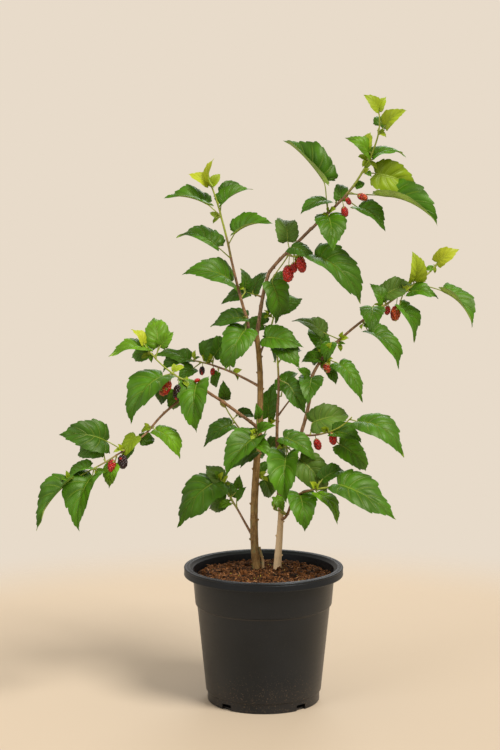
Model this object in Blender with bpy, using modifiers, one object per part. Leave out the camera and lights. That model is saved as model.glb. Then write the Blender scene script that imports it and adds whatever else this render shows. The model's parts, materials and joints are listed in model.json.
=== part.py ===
"""A young white mulberry with two stems, growing in a black plastic nursery pot.

Units are metres and +Z is up. The front faces -Y, and the origin is the middle of the
pot's flat underside. Limbs and leaves are given in millimetres and degrees.
"""

import math
import random
from collections import namedtuple

import bmesh
import bpy
from mathutils import Matrix, Vector
from mathutils.bvhtree import BVHTree

MM = 0.001
GAP = 0.3 * MM

# Pot: a turned shell with a rolled rim, a collar above a step, and a foot band
POT_SIDES = 40
POT_HEIGHT = 205 * MM
RIM_RADIUS = 120 * MM
RIM_WIDTH = 9.7 * MM
RIM_DROP = 13 * MM
RIM_SKIN = 2.8 * MM
RIM_ROUND = 1.7 * MM
RIM_SHELF = 4.8 * MM
COLLAR_TOP_RADIUS = 107.3 * MM
COLLAR_FOOT_RADIUS = 103.0 * MM
BODY_TOP_RADIUS = 100.2 * MM
BODY_FOOT_RADIUS = 87.2 * MM
BAND_RADIUS = 84.8 * MM
STEP_HEIGHT = 147.5 * MM
BAND_HEIGHT = 15.5 * MM
STEP_SLOPE = 1.5 * MM
BASE_ROUND = 1.8 * MM
INNER_FLOOR_RADIUS = 82.2 * MM
INNER_TOP_RADIUS = 105.1 * MM
INNER_TOP_HEIGHT = 200 * MM
FLOOR = 3.0 * MM
DRAIN_WIDTH = 17 * MM
DRAIN_HEIGHT = 9 * MM
DRAIN_SPARE = 1 * MM
DRAIN_ANGLES = (41, 139, 221, 319)

# Soil: fills the pot, highest in the middle, where the stems stand on a level patch
SOIL_TOP = 200 * MM
SOIL_SHOULDER = 196 * MM
SOIL_EDGE = 190 * MM
SOIL_LEVEL_RADIUS = 36 * MM
SOIL_SHOULDER_RADIUS = 72 * MM
SOIL_CLEARANCE = 0.45 * MM

# Limbs
LIMB_STEP = 24 * MM
TWIG_STEP = 26 * MM
FLARE = 0.35
FLARE_LENGTH = 14 * MM

# Leaves: a share of the length along the midrib, with a share of the half width there
LEAF_ROWS = ((0.0, 0.72), (0.38, 1.0), (1.0, 0.0))
LEAF_WIDTH = 0.68
LEAF_LOBE = 0.09
LEAF_THICKNESS = 0.011
LEAF_THINNEST = 0.5 * MM
LEAF_FOLD = 25
LEAF_CURL = 74
STALK_RADIUS = 0.8 * MM
STALK_SINK = 0.4
STALK_POINT = 0.35
STALK_LIFT = 35
STALK_TOWARD = 0.5
CLEARANCE = 0.7 * MM

# Spurs: short side twigs that fill the sides and the back, each with a pair of leaves
SPUR_LENGTH = (10, 20)
SPUR_LEAF = (28, 46)
SPUR_SPREAD = 55
FRUIT_ROUND = 0.64
FRUIT_STALK_RADIUS = 0.55 * MM

BARK = (0.21, 0.165, 0.115, 1)
YOUNG_BARK = (0.27, 0.17, 0.09, 1)
LEAF_GREEN = (0.06, 0.15, 0.04, 1)
POT_BLACK = (0.022, 0.022, 0.024, 1)
SOIL_BROWN = (0.09, 0.05, 0.03, 1)

# A limb starts on the ground or at a share of its parent's length, leaves towards the
# point out, and reaches its tip by way of the point into. Two limbs on one tip stand aside.
Limb = namedtuple("Limb", "name start out into tip radii aside", defaults=(0,))

# A leaf grows at a share of its twig's length. Seen from the front, its blade points at
# the angle clock (0 right, 90 up), tips to the front by toward, and turns its upper face
# up by roll. Its stalk points at the angle way, or else a little higher than the blade.
Leaf = namedtuple("Leaf", "at clock toward length roll stalk way", defaults=(None,))
Fruit = namedtuple("Fruit", "at clock toward stalk length")
Mass = namedtuple("Mass", "twig leaves fruit spurs")

GROUND = 200.3
LIMBS = (
    Limb("left_stem", (-10, 10, GROUND), (-26, 10, 310), (8, 18, 440), (-11, 14, 553), (5.7, 3.3)),
    Limb("right_stem", (21, 12, GROUND), (23, 12, 240), (28, 12, 280), (25, 12, 306), (5.1, 3.1)),
    Limb("foot_twig", (-1, 3, GROUND), (0, 3, 212), (-4, 4, 222), (-6, 4, 233), (1.6, 0.9)),
    Limb("upper_left_bough", ("left_stem", 0.97), (-24, 9, 554), (-22, 10, 566), (-25, 9, 578), (2.1, 1.8)),
    Limb("rising_bough", ("left_stem", 1.0), (-5, 15, 578), (-2, 16, 620), (8, 15.5, 646), (2.4, 2.1)),
    Limb(
        "upper_right_bough",
        ("rising_bough", 1.0), (18, 14, 662), (62, -3, 702), (88, -13, 731), (2.0, 1.7),
    ),
    Limb("left_bough", ("left_stem", 0.60), (-34, -2, 436), (-70, -22, 465), (-104, -40, 488), (2.0, 1.5)),
    Limb(
        "drooping_bough",
        ("left_bough", 0.93), (-112, -44, 470), (-143, -46, 452), (-163, -56, 426), (1.4, 1.2),
    ),
    Limb(
        "middle_bough",
        ("right_stem", 1.0), (22, 13, 345), (19, 11, 410), (21, 9.5, 447), (2.1, 1.7), -2.2,
    ),
    Limb("right_bough", ("right_stem", 1.0), (34, 15, 338), (78, 33, 450), (73, 40, 487), (2.5, 1.9), 2.7),
    Limb(
        "lower_right_bough",
        ("right_stem", 0.64), (38, -4, 280), (40, -14, 306), (48, -22, 316), (1.6, 1.4),
    ),
)

MASSES = (
    Mass(
        Limb(
            "upper_left_leaves",
            ("upper_left_bough", 1.0), (-46, -5, 640), (-51, -14, 705), (-76, -22, 773), (1.7, 0.9),
        ),
        (
            Leaf(1.00, 85, 10, 38, 60, 5),
            Leaf(1.00, 153, -10, 33, 40, 8, 143),
            Leaf(1.00, 50, -20, 20, 20, 5),
            Leaf(0.84, 171, 10, 72, 58, 14, 161),
            Leaf(0.86, 20, -10, 48, 52, 12),
            Leaf(0.64, 11, 15, 64, 60, 14),
            Leaf(0.57, 168, -20, 72, 56, 20, 185),
            Leaf(0.24, 171, 15, 76, 46, 16),
            Leaf(0.02, 242, 30, 74, 20, 22, 266),
            Leaf(0.03, 194, -15, 58, 50, 6, 262),
        ),
        (),
        2,
    ),
    Mass(
        Limb(
            "fork_leaves",
            ("rising_bough", 0.60), (-9, 24, 611), (-13, 29, 613), (-19, 33, 613), (1.1, 0.8),
        ),
        (
            Leaf(1.0, 203, -5, 44, 55, 6),
            Leaf(0.9, 54, -30, 42, 40, 3, 54),
        ),
        (),
        0,
    ),
    Mass(
        Limb(
            "inner_right_leaves",
            ("upper_right_bough", 0.42), (40, -6, 669), (46, -10, 671), (52, -14, 674), (1.3, 0.9),
        ),
        (
            Leaf(1.0, 314, 5, 98, 48, 25, -6),
            Leaf(0.1, 280, -10, 60, 50, 40, 246),
            Leaf(0.3, 96, -22, 46, 20, 22, 107),
            Leaf(0.6, -27, 25, 44, 45, 14, 104),
        ),
        (
            Fruit(0.5, 262, 10, 10, 15),
            Fruit(1.0, 281, 10, 4, 22),
            Fruit(0.15, 266, 18, 16, 25),
        ),
        1,
    ),
    Mass(
        Limb(
            "upper_right_leaves",
            ("upper_right_bough", 1.0), (132, -32, 764), (174, -52, 836), (164, -58, 880), (1.6, 0.8),
        ),
        (
            Leaf(1.00, 136, 0, 30, 28, 5),
            Leaf(1.00, 60, -15, 23, 35, 4),
            Leaf(0.80, 36, 15, 40, 30, 8, 39),
            Leaf(0.64, 68, -25, 28, 18, 4),
            Leaf(0.58, 145, 10, 44, 45, 6),
            Leaf(0.58, -2, -20, 56, 62, 6),
            Leaf(0.08, 135, -20, 88, 38, 46, 90),
            Leaf(0.46, -18, 0, 62, 15, 18),
            Leaf(0.26, -28, 10, 98, 48, 44),
            Leaf(0.22, -42, 25, 60, 46, 21, -42),
            Leaf(0.04, 277, 45, 68, 10, 6, -83),
            Leaf(0.04, 206, 20, 46, 60, 18, 99),
            Leaf(0.18, 80, -50, 34, 10, 3),
            Leaf(0.32, 20, -35, 18, 20, 6, 20),
        ),
        (
            Fruit(0.44, 280, 15, 7, 15),
            Fruit(0.20, 262, 10, 6, 14),
        ),
        2,
    ),
    Mass(
        Limb(
            "left_inner_leaves",
            ("left_stem", 0.775), (-38, 33, 491), (-72, 56, 505), (-107, 70, 508), (1.5, 0.8),
        ),
        (
            Leaf(0.80, 62, 20, 38, 42, 12, 112),
            Leaf(1.00, 206, 0, 46, 50, 6),
            Leaf(0.88, 215, 30, 34, 30, 16, 215),
            Leaf(0.45, 70, -30, 44, 35, 12),
            Leaf(0.62, 262, -25, 26, 30, 10, 262),
            Leaf(1.00, 170, 0, 54, 68, 9, 190),
        ),
        (
            Fruit(0.86, 265, 15, 6, 13),
            Fruit(0.70, 262, 15, 4, 11),
        ),
        1,
    ),
    Mass(
        Limb(
            "left_leaves",
            ("left_bough", 1.0), (-122, -50, 492), (-150, -54, 512), (-174, -56, 545), (1.3, 0.8),
        ),
        (
            Leaf(0.78, 72, -28, 66, 12, 12, 90),
            Leaf(1.00, 132, -10, 41, 45, 3, 132),
            Leaf(0.90, 189, 15, 58, 62, 5),
            Leaf(0.60, 239, 20, 94, 42, 13, 229),
            Leaf(0.04, 270, 24, 84, 14, 5, 50),
            Leaf(0.25, 262, -40, 44, -20, 22, 240),
            Leaf(0.45, 250, -30, 36, 40, 24, 250),
        ),
        (
            Fruit(0.42, 238, 14, 13, 23),
            Fruit(0.32, 266, 20, 12, 22),
            Fruit(0.05, 150, 20, 5, 11),
        ),
        2,
    ),
    Mass(
        Limb(
            "drooping_leaves",
            ("drooping_bough", 1.0), (-184, -66, 400), (-240, -92, 372), (-279, -106, 354), (1.1, 0.7),
        ),
        (
            Leaf(1.00, 236, 10, 83, 42, 5, 226),
            Leaf(0.74, 257, 25, 84, 25, 8, 237),
            Leaf(0.42, 171, 10, 70, 34, 30, 151),
            Leaf(0.62, 200, -35, 49, 40, 19, 109),
            Leaf(0.76, 216, -10, 42, 60, 5, 146),
            Leaf(0.20, 240, 15, 38, 30, 6, 109),
            Leaf(0.02, 311, 10, 60, 62, 5, -19),
            Leaf(0.50, 257, 0, 33, 25, 14, 257),
        ),
        (
            Fruit(0.54, 262, 10, 4, 17),
            Fruit(0.44, 275, 15, 5, 20),
        ),
        2,
    ),
    Mass(
        Limb(
            "left_low_leaves",
            ("left_stem", 0.53), (-24, 24, 392), (-50, 48, 422), (-60, 56, 443), (1.1, 0.7),
        ),
        (
            Leaf(0.62, 217, 10, 54, 52, 8, 217),
            Leaf(1.00, 93, 10, 31, 8, 8),
        ),
        (
            Fruit(0.9, 120, 30, 5, 14),
        ),
        2,
    ),
    Mass(
        Limb(
            "front_leaves",
            ("left_stem", 0.57), (-9, 2, 402), (-10, -4, 403), (-10, -12, 405), (1.2, 0.9),
        ),
        (
            Leaf(0.9, 230, 25, 76, 42, 4, 230),
            Leaf(0.6, 224, 10, 35, 50, 24, 265),
            Leaf(1.0, 318, 30, 34, 30, 11, 262),
            Leaf(1.0, 22, 20, 28, 40, 8),
            Leaf(0.5, 95, 10, 24, 30, 28),
        ),
        (),
        0,
    ),
    Mass(
        Limb("back_leaves", ("left_stem", 0.36), (-14, 40, 340), (-10, 70, 368), (8, 88, 408), (1.4, 0.8)),
        (
            Leaf(1.0, 80, -20, 54, 30, 12),
            Leaf(0.8, 310, -45, 54, 30, 14, -50),
            Leaf(0.6, 220, -30, 52, 40, 14),
        ),
        (),
        3,
    ),
    Mass(
        Limb(
            "upper_back_leaves",
            ("left_stem", 0.9), (0, 40, 540), (16, 64, 560), (20, 84, 596), (1.3, 0.8),
        ),
        (
            Leaf(1.0, 70, -20, 44, 30, 12),
            Leaf(0.8, 20, -30, 46, 30, 14),
            Leaf(0.6, 200, -30, 44, 40, 14),
        ),
        (),
        2,
    ),
    Mass(
        Limb("middle_leaves", ("middle_bough", 1.0), (24, 9, 480), (21, 7, 515), (19, 6, 542), (1.5, 0.8)),
        (
            Leaf(1.00, 347, 15, 60, 38, 18, 153),
            Leaf(0.95, 315, 30, 50, 28, 4, -15),
            Leaf(0.40, 300, 8, 50, 15, 18, -29),
        ),
        (),
        2,
    ),
    Mass(
        Limb(
            "crossing_leaves",
            ("middle_bough", 0.86), (34, 16, 448), (50, 22, 468), (62, 24, 482), (1.0, 0.7),
        ),
        (
            Leaf(1.00, 259, 50, 56, 8, 12, 30),
            Leaf(0.95, 137, 35, 28, 40, 12, 55),
        ),
        (),
        0,
    ),
    Mass(
        Limb(
            "right_leaves",
            ("right_bough", 1.0), (105, 56, 560), (228, 82, 608), (264, 89, 653), (1.8, 0.8),
        ),
        (
            Leaf(0.27, 162, -20, 53, 54, 29, 156),
            Leaf(0.25, 255, 30, 34, 20, 11, 185),
            Leaf(0.12, 194, -30, 34, 50, 3, 188),
            Leaf(0.13, 302, 15, 68, 48, 18, -24),
            Leaf(0.12, 298, -10, 30, 40, 16, -62),
            Leaf(0.49, 263, 50, 54, 8, 12, 88),
            Leaf(0.43, 309, 10, 72, 60, 16, -51),
            Leaf(0.70, 293, 0, 61, 52, 22, 258),
            Leaf(0.58, 20, -25, 52, 26, 16, 92),
            Leaf(0.56, 125, -10, 35, 40, 8),
            Leaf(0.78, 95, 10, 46, 26, 8),
            Leaf(0.72, -13, 10, 45, 46, 7, -11),
            Leaf(0.90, 309, 15, 75, 60, 29, -51),
            Leaf(1.00, 30, 0, 38, 22, 5),
            Leaf(0.17, 62, 20, 16, 30, 4),
        ),
        (
            Fruit(0.66, 263, 12, 14, 23),
            Fruit(0.60, 262, -10, 5, 14),
            Fruit(0.13, 290, 35, 10, 16),
        ),
        2,
    ),
    Mass(
        Limb(
            "mid_right_leaves",
            ("right_bough", 0.53), (76, 8, 399), (112, -28, 412), (129, -42, 437), (1.2, 0.7),
        ),
        (
            Leaf(0.18, 8, -25, 62, 22, 20, 76),
            Leaf(0.55, -17, 20, 46, 46, 7, -16),
            Leaf(0.95, -37, 15, 85, 58, 16, -16),
            Leaf(0.52, 314, -10, 60, 30, 27, -46),
        ),
        (
            Fruit(0.28, 285, 10, 6, 17),
            Fruit(0.60, 275, 10, 3, 18),
        ),
        1,
    ),
    Mass(
        Limb(
            "lower_right_leaves",
            ("lower_right_bough", 1.0), (58, -32, 325), (84, -50, 333), (106, -60, 337), (1.2, 0.9),
        ),
        (
            Leaf(1.00, 330, 10, 98, 46, 5, 30),
            Leaf(0.55, 303, 20, 54, 55, 8, -57),
            Leaf(0.05, 278, 30, 60, 10, 3, 20),
        ),
        (),
        1,
    ),
    Mass(
        Limb(
            "centre_leaves",
            ("middle_bough", 0.62), (28, -2, 393), (31, -9, 391), (35, -15, 388), (1.2, 0.9),
        ),
        (
            Leaf(0.90, 269, 30, 74, 12, 15, 269),
            Leaf(0.60, 326, 10, 63, 50, 10, 87),
            Leaf(1.00, 308, -5, 68, 22, 28, -44),
            Leaf(0.80, 308, -30, 30, 30, 40, -70),
        ),
        (
            Fruit(0.3, 240, 20, 8, 13),
        ),
        0,
    ),
    Mass(
        Limb("foot_leaves", ("right_stem", 0.78), (18, -2, 290), (16, -6, 292), (15, -10, 294), (1.0, 0.8)),
        (
            Leaf(1.0, 300, 15, 25, 30, 18, 80),
            Leaf(0.8, 58, 10, 23, 40, 4, 58),
        ),
        (
            Fruit(0.6, 340, 10, 9, 9),
        ),
        0,
    ),
    Mass(
        Limb(
            "lower_left_leaves",
            ("left_stem", 0.13), (-32, 24, 272), (-50, 38, 306), (-68, 50, 327), (1.4, 0.9),
        ),
        (
            Leaf(1.00, 228, 15, 93, 42, 5, 219),
            Leaf(0.92, 140, -35, 38, 30, 6),
            Leaf(0.55, 205, 10, 20, 40, 8),
            Leaf(0.66, 89, 20, 24, 25, 21, 49),
            Leaf(0.48, 53, 10, 24, 50, 15),
        ),
        (),
        1,
    ),
)


def clear_scene():
    for item in list(bpy.data.objects):
        bpy.data.objects.remove(item, do_unlink=True)


def collection(name):
    group = bpy.data.collections.new(name)
    bpy.context.scene.collection.children.link(group)
    return group


def material(name, color, roughness):
    made = bpy.data.materials.new(name)
    made.use_nodes = True
    shader = made.node_tree.nodes["Principled BSDF"]
    shader.inputs["Base Color"].default_value = color
    shader.inputs["Roughness"].default_value = roughness
    shader.inputs["Metallic"].default_value = 0.0
    return made


def add_object(name, mesh, group, surface):
    item = bpy.data.objects.new(name, mesh)
    group.objects.link(item)
    if surface:
        item.data.materials.clear()
        item.data.materials.append(surface)
    return item


def evaluated_mesh(item):
    bpy.context.view_layer.update()
    graph = bpy.context.evaluated_depsgraph_get()
    return bpy.data.meshes.new_from_object(item.evaluated_get(graph), depsgraph=graph)


# Turned pieces


def turned(name, profile, group, surface):
    """Turns a profile of (radius, height) points about the pot's axis."""
    mesh = bpy.data.meshes.new(name)
    edges = [(index, index + 1) for index in range(len(profile) - 1)]
    mesh.from_pydata([(radius, 0, height) for radius, height in profile], edges, [])
    item = add_object(name, mesh, group, surface)
    screw = item.modifiers.new("Turned", "SCREW")
    screw.angle = math.tau
    screw.steps = POT_SIDES
    screw.render_steps = POT_SIDES
    screw.use_merge_vertices = True
    screw.merge_threshold = 0.00001
    return item


def corner(centre_radius, centre_height, size, first, last, steps=2):
    """A round corner of a profile, from one angle to another in degrees."""
    points = []
    for step in range(steps + 1):
        angle = math.radians(first + (last - first) * step / steps)
        points.append((centre_radius + size * math.cos(angle), centre_height + size * math.sin(angle)))
    return points


def pot_profile():
    rim_inner = RIM_RADIUS - RIM_WIDTH
    rim_foot = POT_HEIGHT - RIM_DROP
    edge = RIM_SKIN / 2
    outside = [(0, FLOOR), (INNER_FLOOR_RADIUS, FLOOR), (INNER_TOP_RADIUS, INNER_TOP_HEIGHT)]
    outside += corner(rim_inner + RIM_ROUND, POT_HEIGHT - RIM_ROUND, RIM_ROUND, 165, 90)
    outside += corner(RIM_RADIUS - RIM_ROUND, POT_HEIGHT - RIM_ROUND, RIM_ROUND, 90, 0)
    outside += corner(RIM_RADIUS - edge, rim_foot + edge, edge, 0, -180)
    outside += [
        (RIM_RADIUS - RIM_SKIN, POT_HEIGHT - RIM_SHELF),
        (COLLAR_TOP_RADIUS, POT_HEIGHT - RIM_SHELF),
        (COLLAR_FOOT_RADIUS, STEP_HEIGHT + STEP_SLOPE),
        (BODY_TOP_RADIUS, STEP_HEIGHT - STEP_SLOPE),
        (BODY_FOOT_RADIUS, BAND_HEIGHT + STEP_SLOPE),
        (BAND_RADIUS, BAND_HEIGHT - STEP_SLOPE),
    ]
    outside += corner(BAND_RADIUS - BASE_ROUND, BASE_ROUND, BASE_ROUND, 0, -90)
    return outside + [(0, 0)]


def inner_radius(height):
    share = (height - FLOOR) / (INNER_TOP_HEIGHT - FLOOR)
    return INNER_FLOOR_RADIUS + share * (INNER_TOP_RADIUS - INNER_FLOOR_RADIUS)


def drain_cutters(group):
    """Blocks that cut the drain slots up into the foot band from below."""
    for number, angle in enumerate(DRAIN_ANGLES):
        bpy.ops.mesh.primitive_cube_add(size=1)
        block = bpy.context.active_object
        block.name = f"drain_cutter_{number + 1}"
        turn = Matrix.Rotation(math.radians(angle), 4, "Z")
        place = Matrix.Translation((0, -BAND_RADIUS, (DRAIN_HEIGHT - DRAIN_SPARE) / 2))
        size = Matrix.Diagonal((DRAIN_WIDTH, 9 * MM, DRAIN_HEIGHT + DRAIN_SPARE, 1))
        block.data.transform(turn @ place @ size)
        block.hide_render = True
        block.display_type = "WIRE"
        for owner in list(block.users_collection):
            owner.objects.unlink(block)
        group.objects.link(block)


def make_pot(group, cutters, surface):
    pot = turned("pot", pot_profile(), group, surface)
    drain_cutters(cutters)
    cut = pot.modifiers.new("Drain slots", "BOOLEAN")
    cut.operation = "DIFFERENCE"
    cut.operand_type = "COLLECTION"
    cut.collection = cutters
    return pot


def make_soil(group, surface):
    low = FLOOR + GAP
    profile = [
        (0, SOIL_TOP),
        (SOIL_LEVEL_RADIUS, SOIL_TOP),
        (SOIL_SHOULDER_RADIUS, SOIL_SHOULDER),
        (inner_radius(SOIL_EDGE) - SOIL_CLEARANCE, SOIL_EDGE),
        (inner_radius(low) - SOIL_CLEARANCE, low),
        (0, low),
    ]
    return turned("soil", profile, group, surface)


# Limbs


def bezier(points, share):
    rest = 1 - share
    return (
        points[0] * rest**3
        + points[1] * 3 * rest**2 * share
        + points[2] * 3 * rest * share**2
        + points[3] * share**3
    )


def heading_at(points, share):
    step = 0.01
    low = max(share - step, 0)
    return (bezier(points, low + step) - bezier(points, low)).normalized()


def radius_at(limb, share):
    first, last = limb.radii
    return (first + (last - first) * share) * MM


def limb_route(limb, routes, limbs):
    """The limb's four curve points, with its foot the gap clear of its parent's surface."""
    out, into, tip = (Vector(point) * MM for point in (limb.out, limb.into, limb.tip))
    if len(limb.start) == 3:
        return [Vector(limb.start) * MM, out, into, tip]
    parent, share = limb.start
    joint = bezier(routes[parent], share) + Vector((limb.aside * MM, 0, 0))
    along = heading_at(routes[parent], share)
    heading = (out - joint).normalized()
    radius = limb.radii[0] * MM
    cosine = min(abs(heading.dot(along)), 0.999)
    sine = math.sqrt(1 - cosine**2)
    if share == 1.0:
        reach = (GAP + radius * sine) / cosine
    else:
        reach = (radius_at(limbs[parent], share) + GAP + radius * cosine) / sine
    return [joint + heading * reach, out, into, tip]


def tube_mesh(name, points, radii, detail):
    """A tapering tube with welded end caps, from a curve with a radius at each point."""
    curve = bpy.data.curves.new(name, "CURVE")
    curve.dimensions = "3D"
    curve.bevel_depth = 1.0
    curve.bevel_resolution = detail
    curve.use_fill_caps = True
    spline = curve.splines.new("POLY")
    spline.points.add(len(points) - 1)
    for point, place, radius in zip(spline.points, points, radii):
        point.co = (*place, 1)
        point.radius = radius
    guide = bpy.data.objects.new(name, curve)
    bpy.context.scene.collection.objects.link(guide)
    mesh = evaluated_mesh(guide)
    bpy.data.objects.remove(guide)
    welded = bmesh.new()
    welded.from_mesh(mesh)
    bmesh.ops.remove_doubles(welded, verts=welded.verts, dist=0.000001)
    bmesh.ops.recalc_face_normals(welded, faces=welded.faces)
    welded.to_mesh(mesh)
    welded.free()
    return mesh


def limb_points(route, step):
    """Points along a limb's curve, about a step apart."""
    length = sum((bezier(route, (i + 1) / 8) - bezier(route, i / 8)).length for i in range(8))
    count = max(3, round(length / step))
    return [bezier(route, index / count) for index in range(count + 1)]


def place_on(points, share):
    """The place at a share of the way along a row of points."""
    whole, part = divmod(share * (len(points) - 1), 1)
    near, far = (points[min(int(whole) + ahead, len(points) - 1)] for ahead in (0, 1))
    return near.lerp(far, part)


def limb_mesh(limb, route, step, detail):
    points = limb_points(route, step)
    radii = [radius_at(limb, index / (len(points) - 1)) for index in range(len(points))]
    if len(limb.start) == 3:
        radii = [
            radius * (1 + FLARE * math.exp(-(point.z - points[0].z) / FLARE_LENGTH))
            for radius, point in zip(radii, points)
        ]
    mesh = tube_mesh(limb.name, points, radii, detail)
    if len(limb.start) == 3:
        level = points[0].z
        for vertex in mesh.vertices:
            if vertex.co.z < level + radii[0] / 2:
                vertex.co.z = level
    return mesh


# Leaves, fruit and spurs


def direction(clock, toward):
    around, forward = math.radians(clock), math.radians(toward)
    flat = math.cos(forward)
    return Vector((flat * math.cos(around), -math.sin(forward), flat * math.sin(around)))


def stalk_clock(leaf):
    """The angle at which a leaf's stalk points."""
    if leaf.way is not None:
        return leaf.way
    turn = (90 - leaf.clock + 180) % 360 - 180
    return leaf.clock + math.copysign(min(abs(turn), STALK_LIFT), turn)


def leaf_frame(leaf, base):
    """The blade's own axes: across, along the midrib, and out of its upper face."""
    along = direction(leaf.clock, leaf.toward)
    front = Vector((0, -1, 0))
    front = (front - along * front.dot(along)).normalized()
    rise = along.cross(front)
    if rise.z < 0:
        rise = -rise
    roll = math.radians(leaf.roll)
    face = front * math.cos(roll) + rise * math.sin(roll)
    across = along.cross(face)
    frame = Matrix((across, along, face)).transposed().to_4x4()
    return Matrix.Translation(base) @ frame


def blade_point(share, side, half_width, length, fold, curl):
    """A point of a leaf that is folded along its midrib and arches from base to tip."""
    rise = curl / 2
    bend = rise - curl * share
    arch = length / (2 * math.sin(rise))
    lift = abs(side) * half_width * math.sin(fold)
    return Vector((
        side * half_width * math.cos(fold),
        arch * (math.sin(rise) - math.sin(bend)) - lift * math.sin(bend),
        arch * (math.cos(bend) - math.cos(rise)) + lift * math.cos(bend),
    ))


def middle(shape):
    return sum((vertex.co for vertex in shape.verts), Vector()) / len(shape.verts)


def blade_mesh(name, leaf, frame, bend, spare):
    """A leaf blade from a grid of three rows, pointed at its tip and made solid."""
    length = leaf.length * MM
    blade = bmesh.new()
    rows = len(LEAF_ROWS) - 1
    bmesh.ops.create_grid(blade, x_segments=2, y_segments=rows, size=0.5)
    thickness = max(length * LEAF_THICKNESS, LEAF_THINNEST) + 2 * spare
    for vertex in blade.verts:
        side = round(vertex.co.x * 2)
        share, width = LEAF_ROWS[round((vertex.co.y + 0.5) * rows)]
        if share == 0 and side:
            share = -LEAF_LOBE
        half_width = width * LEAF_WIDTH * length / 2 + (spare if width else 0)
        fold, curl = bend
        vertex.co = blade_point(share, side, half_width, length, fold, curl)
    bmesh.ops.remove_doubles(blade, verts=blade.verts, dist=0.000001)
    centre = middle(blade)
    bmesh.ops.solidify(blade, geom=blade.faces, thickness=thickness)
    centred = Matrix.Translation(centre - middle(blade))
    bmesh.ops.transform(blade, matrix=frame @ centred, verts=blade.verts)
    bmesh.ops.recalc_face_normals(blade, faces=blade.faces)
    mesh = bpy.data.meshes.new(name)
    blade.to_mesh(mesh)
    blade.free()
    return mesh


def fruit_mesh(name, fruit, centre):
    """One berry, a rounded oblong that hangs from its stalk."""
    along = direction(fruit.clock, fruit.toward)
    turn = along.to_track_quat("Z", "Y").to_matrix().to_4x4()
    half = fruit.length * MM / 2
    berry = bmesh.new()
    bmesh.ops.create_uvsphere(berry, u_segments=6, v_segments=4, radius=1)
    size = Matrix.Diagonal((half * FRUIT_ROUND, half * FRUIT_ROUND, half, 1))
    bmesh.ops.transform(berry, matrix=Matrix.Translation(centre) @ turn @ size, verts=berry.verts)
    mesh = bpy.data.meshes.new(name)
    berry.to_mesh(mesh)
    berry.free()
    return mesh


def rod_mesh(name, foot, tip, first, last):
    """A straight three-sided stalk or spur that tapers from one radius to another."""
    rod = bmesh.new()
    way = tip - foot
    middle = Matrix.Translation((foot + tip) / 2) @ way.to_track_quat("Z", "Y").to_matrix().to_4x4()
    bmesh.ops.create_cone(
        rod, cap_ends=True, segments=3, radius1=first, radius2=last, depth=way.length, matrix=middle
    )
    mesh = bpy.data.meshes.new(name)
    rod.to_mesh(mesh)
    rod.free()
    return mesh


def tree_of(mesh):
    shape = bmesh.new()
    shape.from_mesh(mesh)
    tree = BVHTree.FromBMesh(shape)
    shape.free()
    return tree


def touches(tree, others):
    return any(tree.overlap(other) for other in others)


class Foliage:
    """Twigs, leaves and fruit of one mass, which keep clear of everything that stands."""

    def __init__(self, name, standing):
        self.name = name
        self.standing = standing
        self.pieces = []
        self.blades = []
        self.skipped = []

    def add_leaf(self, leaf, foot, label, shy=False):
        """Adds a leaf and its stalk, unless it would touch what stands, or if shy its own mass."""
        draw = random.Random(f"{self.name} {label}").uniform
        fold = math.radians(LEAF_FOLD * draw(0.6, 1.3))
        curl = math.radians(LEAF_CURL * draw(0.6, 1.25))
        stalk_way = direction(stalk_clock(leaf), leaf.toward * STALK_TOWARD)
        base = foot + stalk_way * leaf.stalk * MM
        frame = leaf_frame(leaf, base)
        guard = blade_mesh("guard", leaf, frame, (fold, curl), CLEARANCE)
        space = tree_of(guard)
        bpy.data.meshes.remove(guard)
        length = leaf.length * MM
        ends = [blade_point(share, 0, 0, length, fold, curl) for share, _ in LEAF_ROWS[:2]]
        sink = frame @ ends[0].lerp(ends[1], STALK_SINK)
        point = max(length * LEAF_THICKNESS, LEAF_THINNEST) * STALK_POINT
        stalk = rod_mesh("stalk", foot, sink, STALK_RADIUS, point)
        others = self.standing + (self.blades if shy else [])
        if touches(space, others) or touches(tree_of(stalk), self.standing):
            self.skipped.append(leaf)
            return False
        self.blades.append(space)
        self.pieces += [blade_mesh("blade", leaf, frame, (fold, curl), 0), stalk]
        return True

    def add_fruit(self, fruit, foot):
        way = direction(fruit.clock, fruit.toward)
        centre = foot + way * (fruit.stalk + fruit.length / 2) * MM
        berry = fruit_mesh("berry", fruit, centre)
        if touches(tree_of(berry), self.standing):
            self.skipped.append(fruit)
            return
        stalk = rod_mesh("stalk", foot, centre, FRUIT_STALK_RADIUS, FRUIT_STALK_RADIUS)
        self.pieces += [berry, stalk]

    def add_spur(self, points, number, count):
        """A short side twig that leans to the back, with a leaf to each side of its tip."""
        label = f"spur {number + 1}"
        draw = random.Random(f"{self.name} {label}").uniform
        share = (number + draw(0.25, 0.75)) / count
        foot = place_on(points, share)
        clock, toward = draw(0, 360), draw(-80, -45)
        length = draw(*SPUR_LENGTH) * MM
        tip = foot + direction(clock, toward) * length
        leaves = []
        for turn in (-SPUR_SPREAD, SPUR_SPREAD):
            size = draw(*SPUR_LEAF)
            leaves.append(Leaf(share, clock + turn, toward * 0.6, size, draw(20, 60), size * 0.25))
        spur = rod_mesh("spur", foot, tip, STALK_RADIUS * 1.3, STALK_RADIUS * 1.1)
        if touches(tree_of(spur), self.standing + self.blades):
            return
        grown = [self.add_leaf(leaf, tip, f"{label} {side}", shy=True) for side, leaf in enumerate(leaves)]
        if any(grown):
            self.pieces.append(spur)


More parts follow.
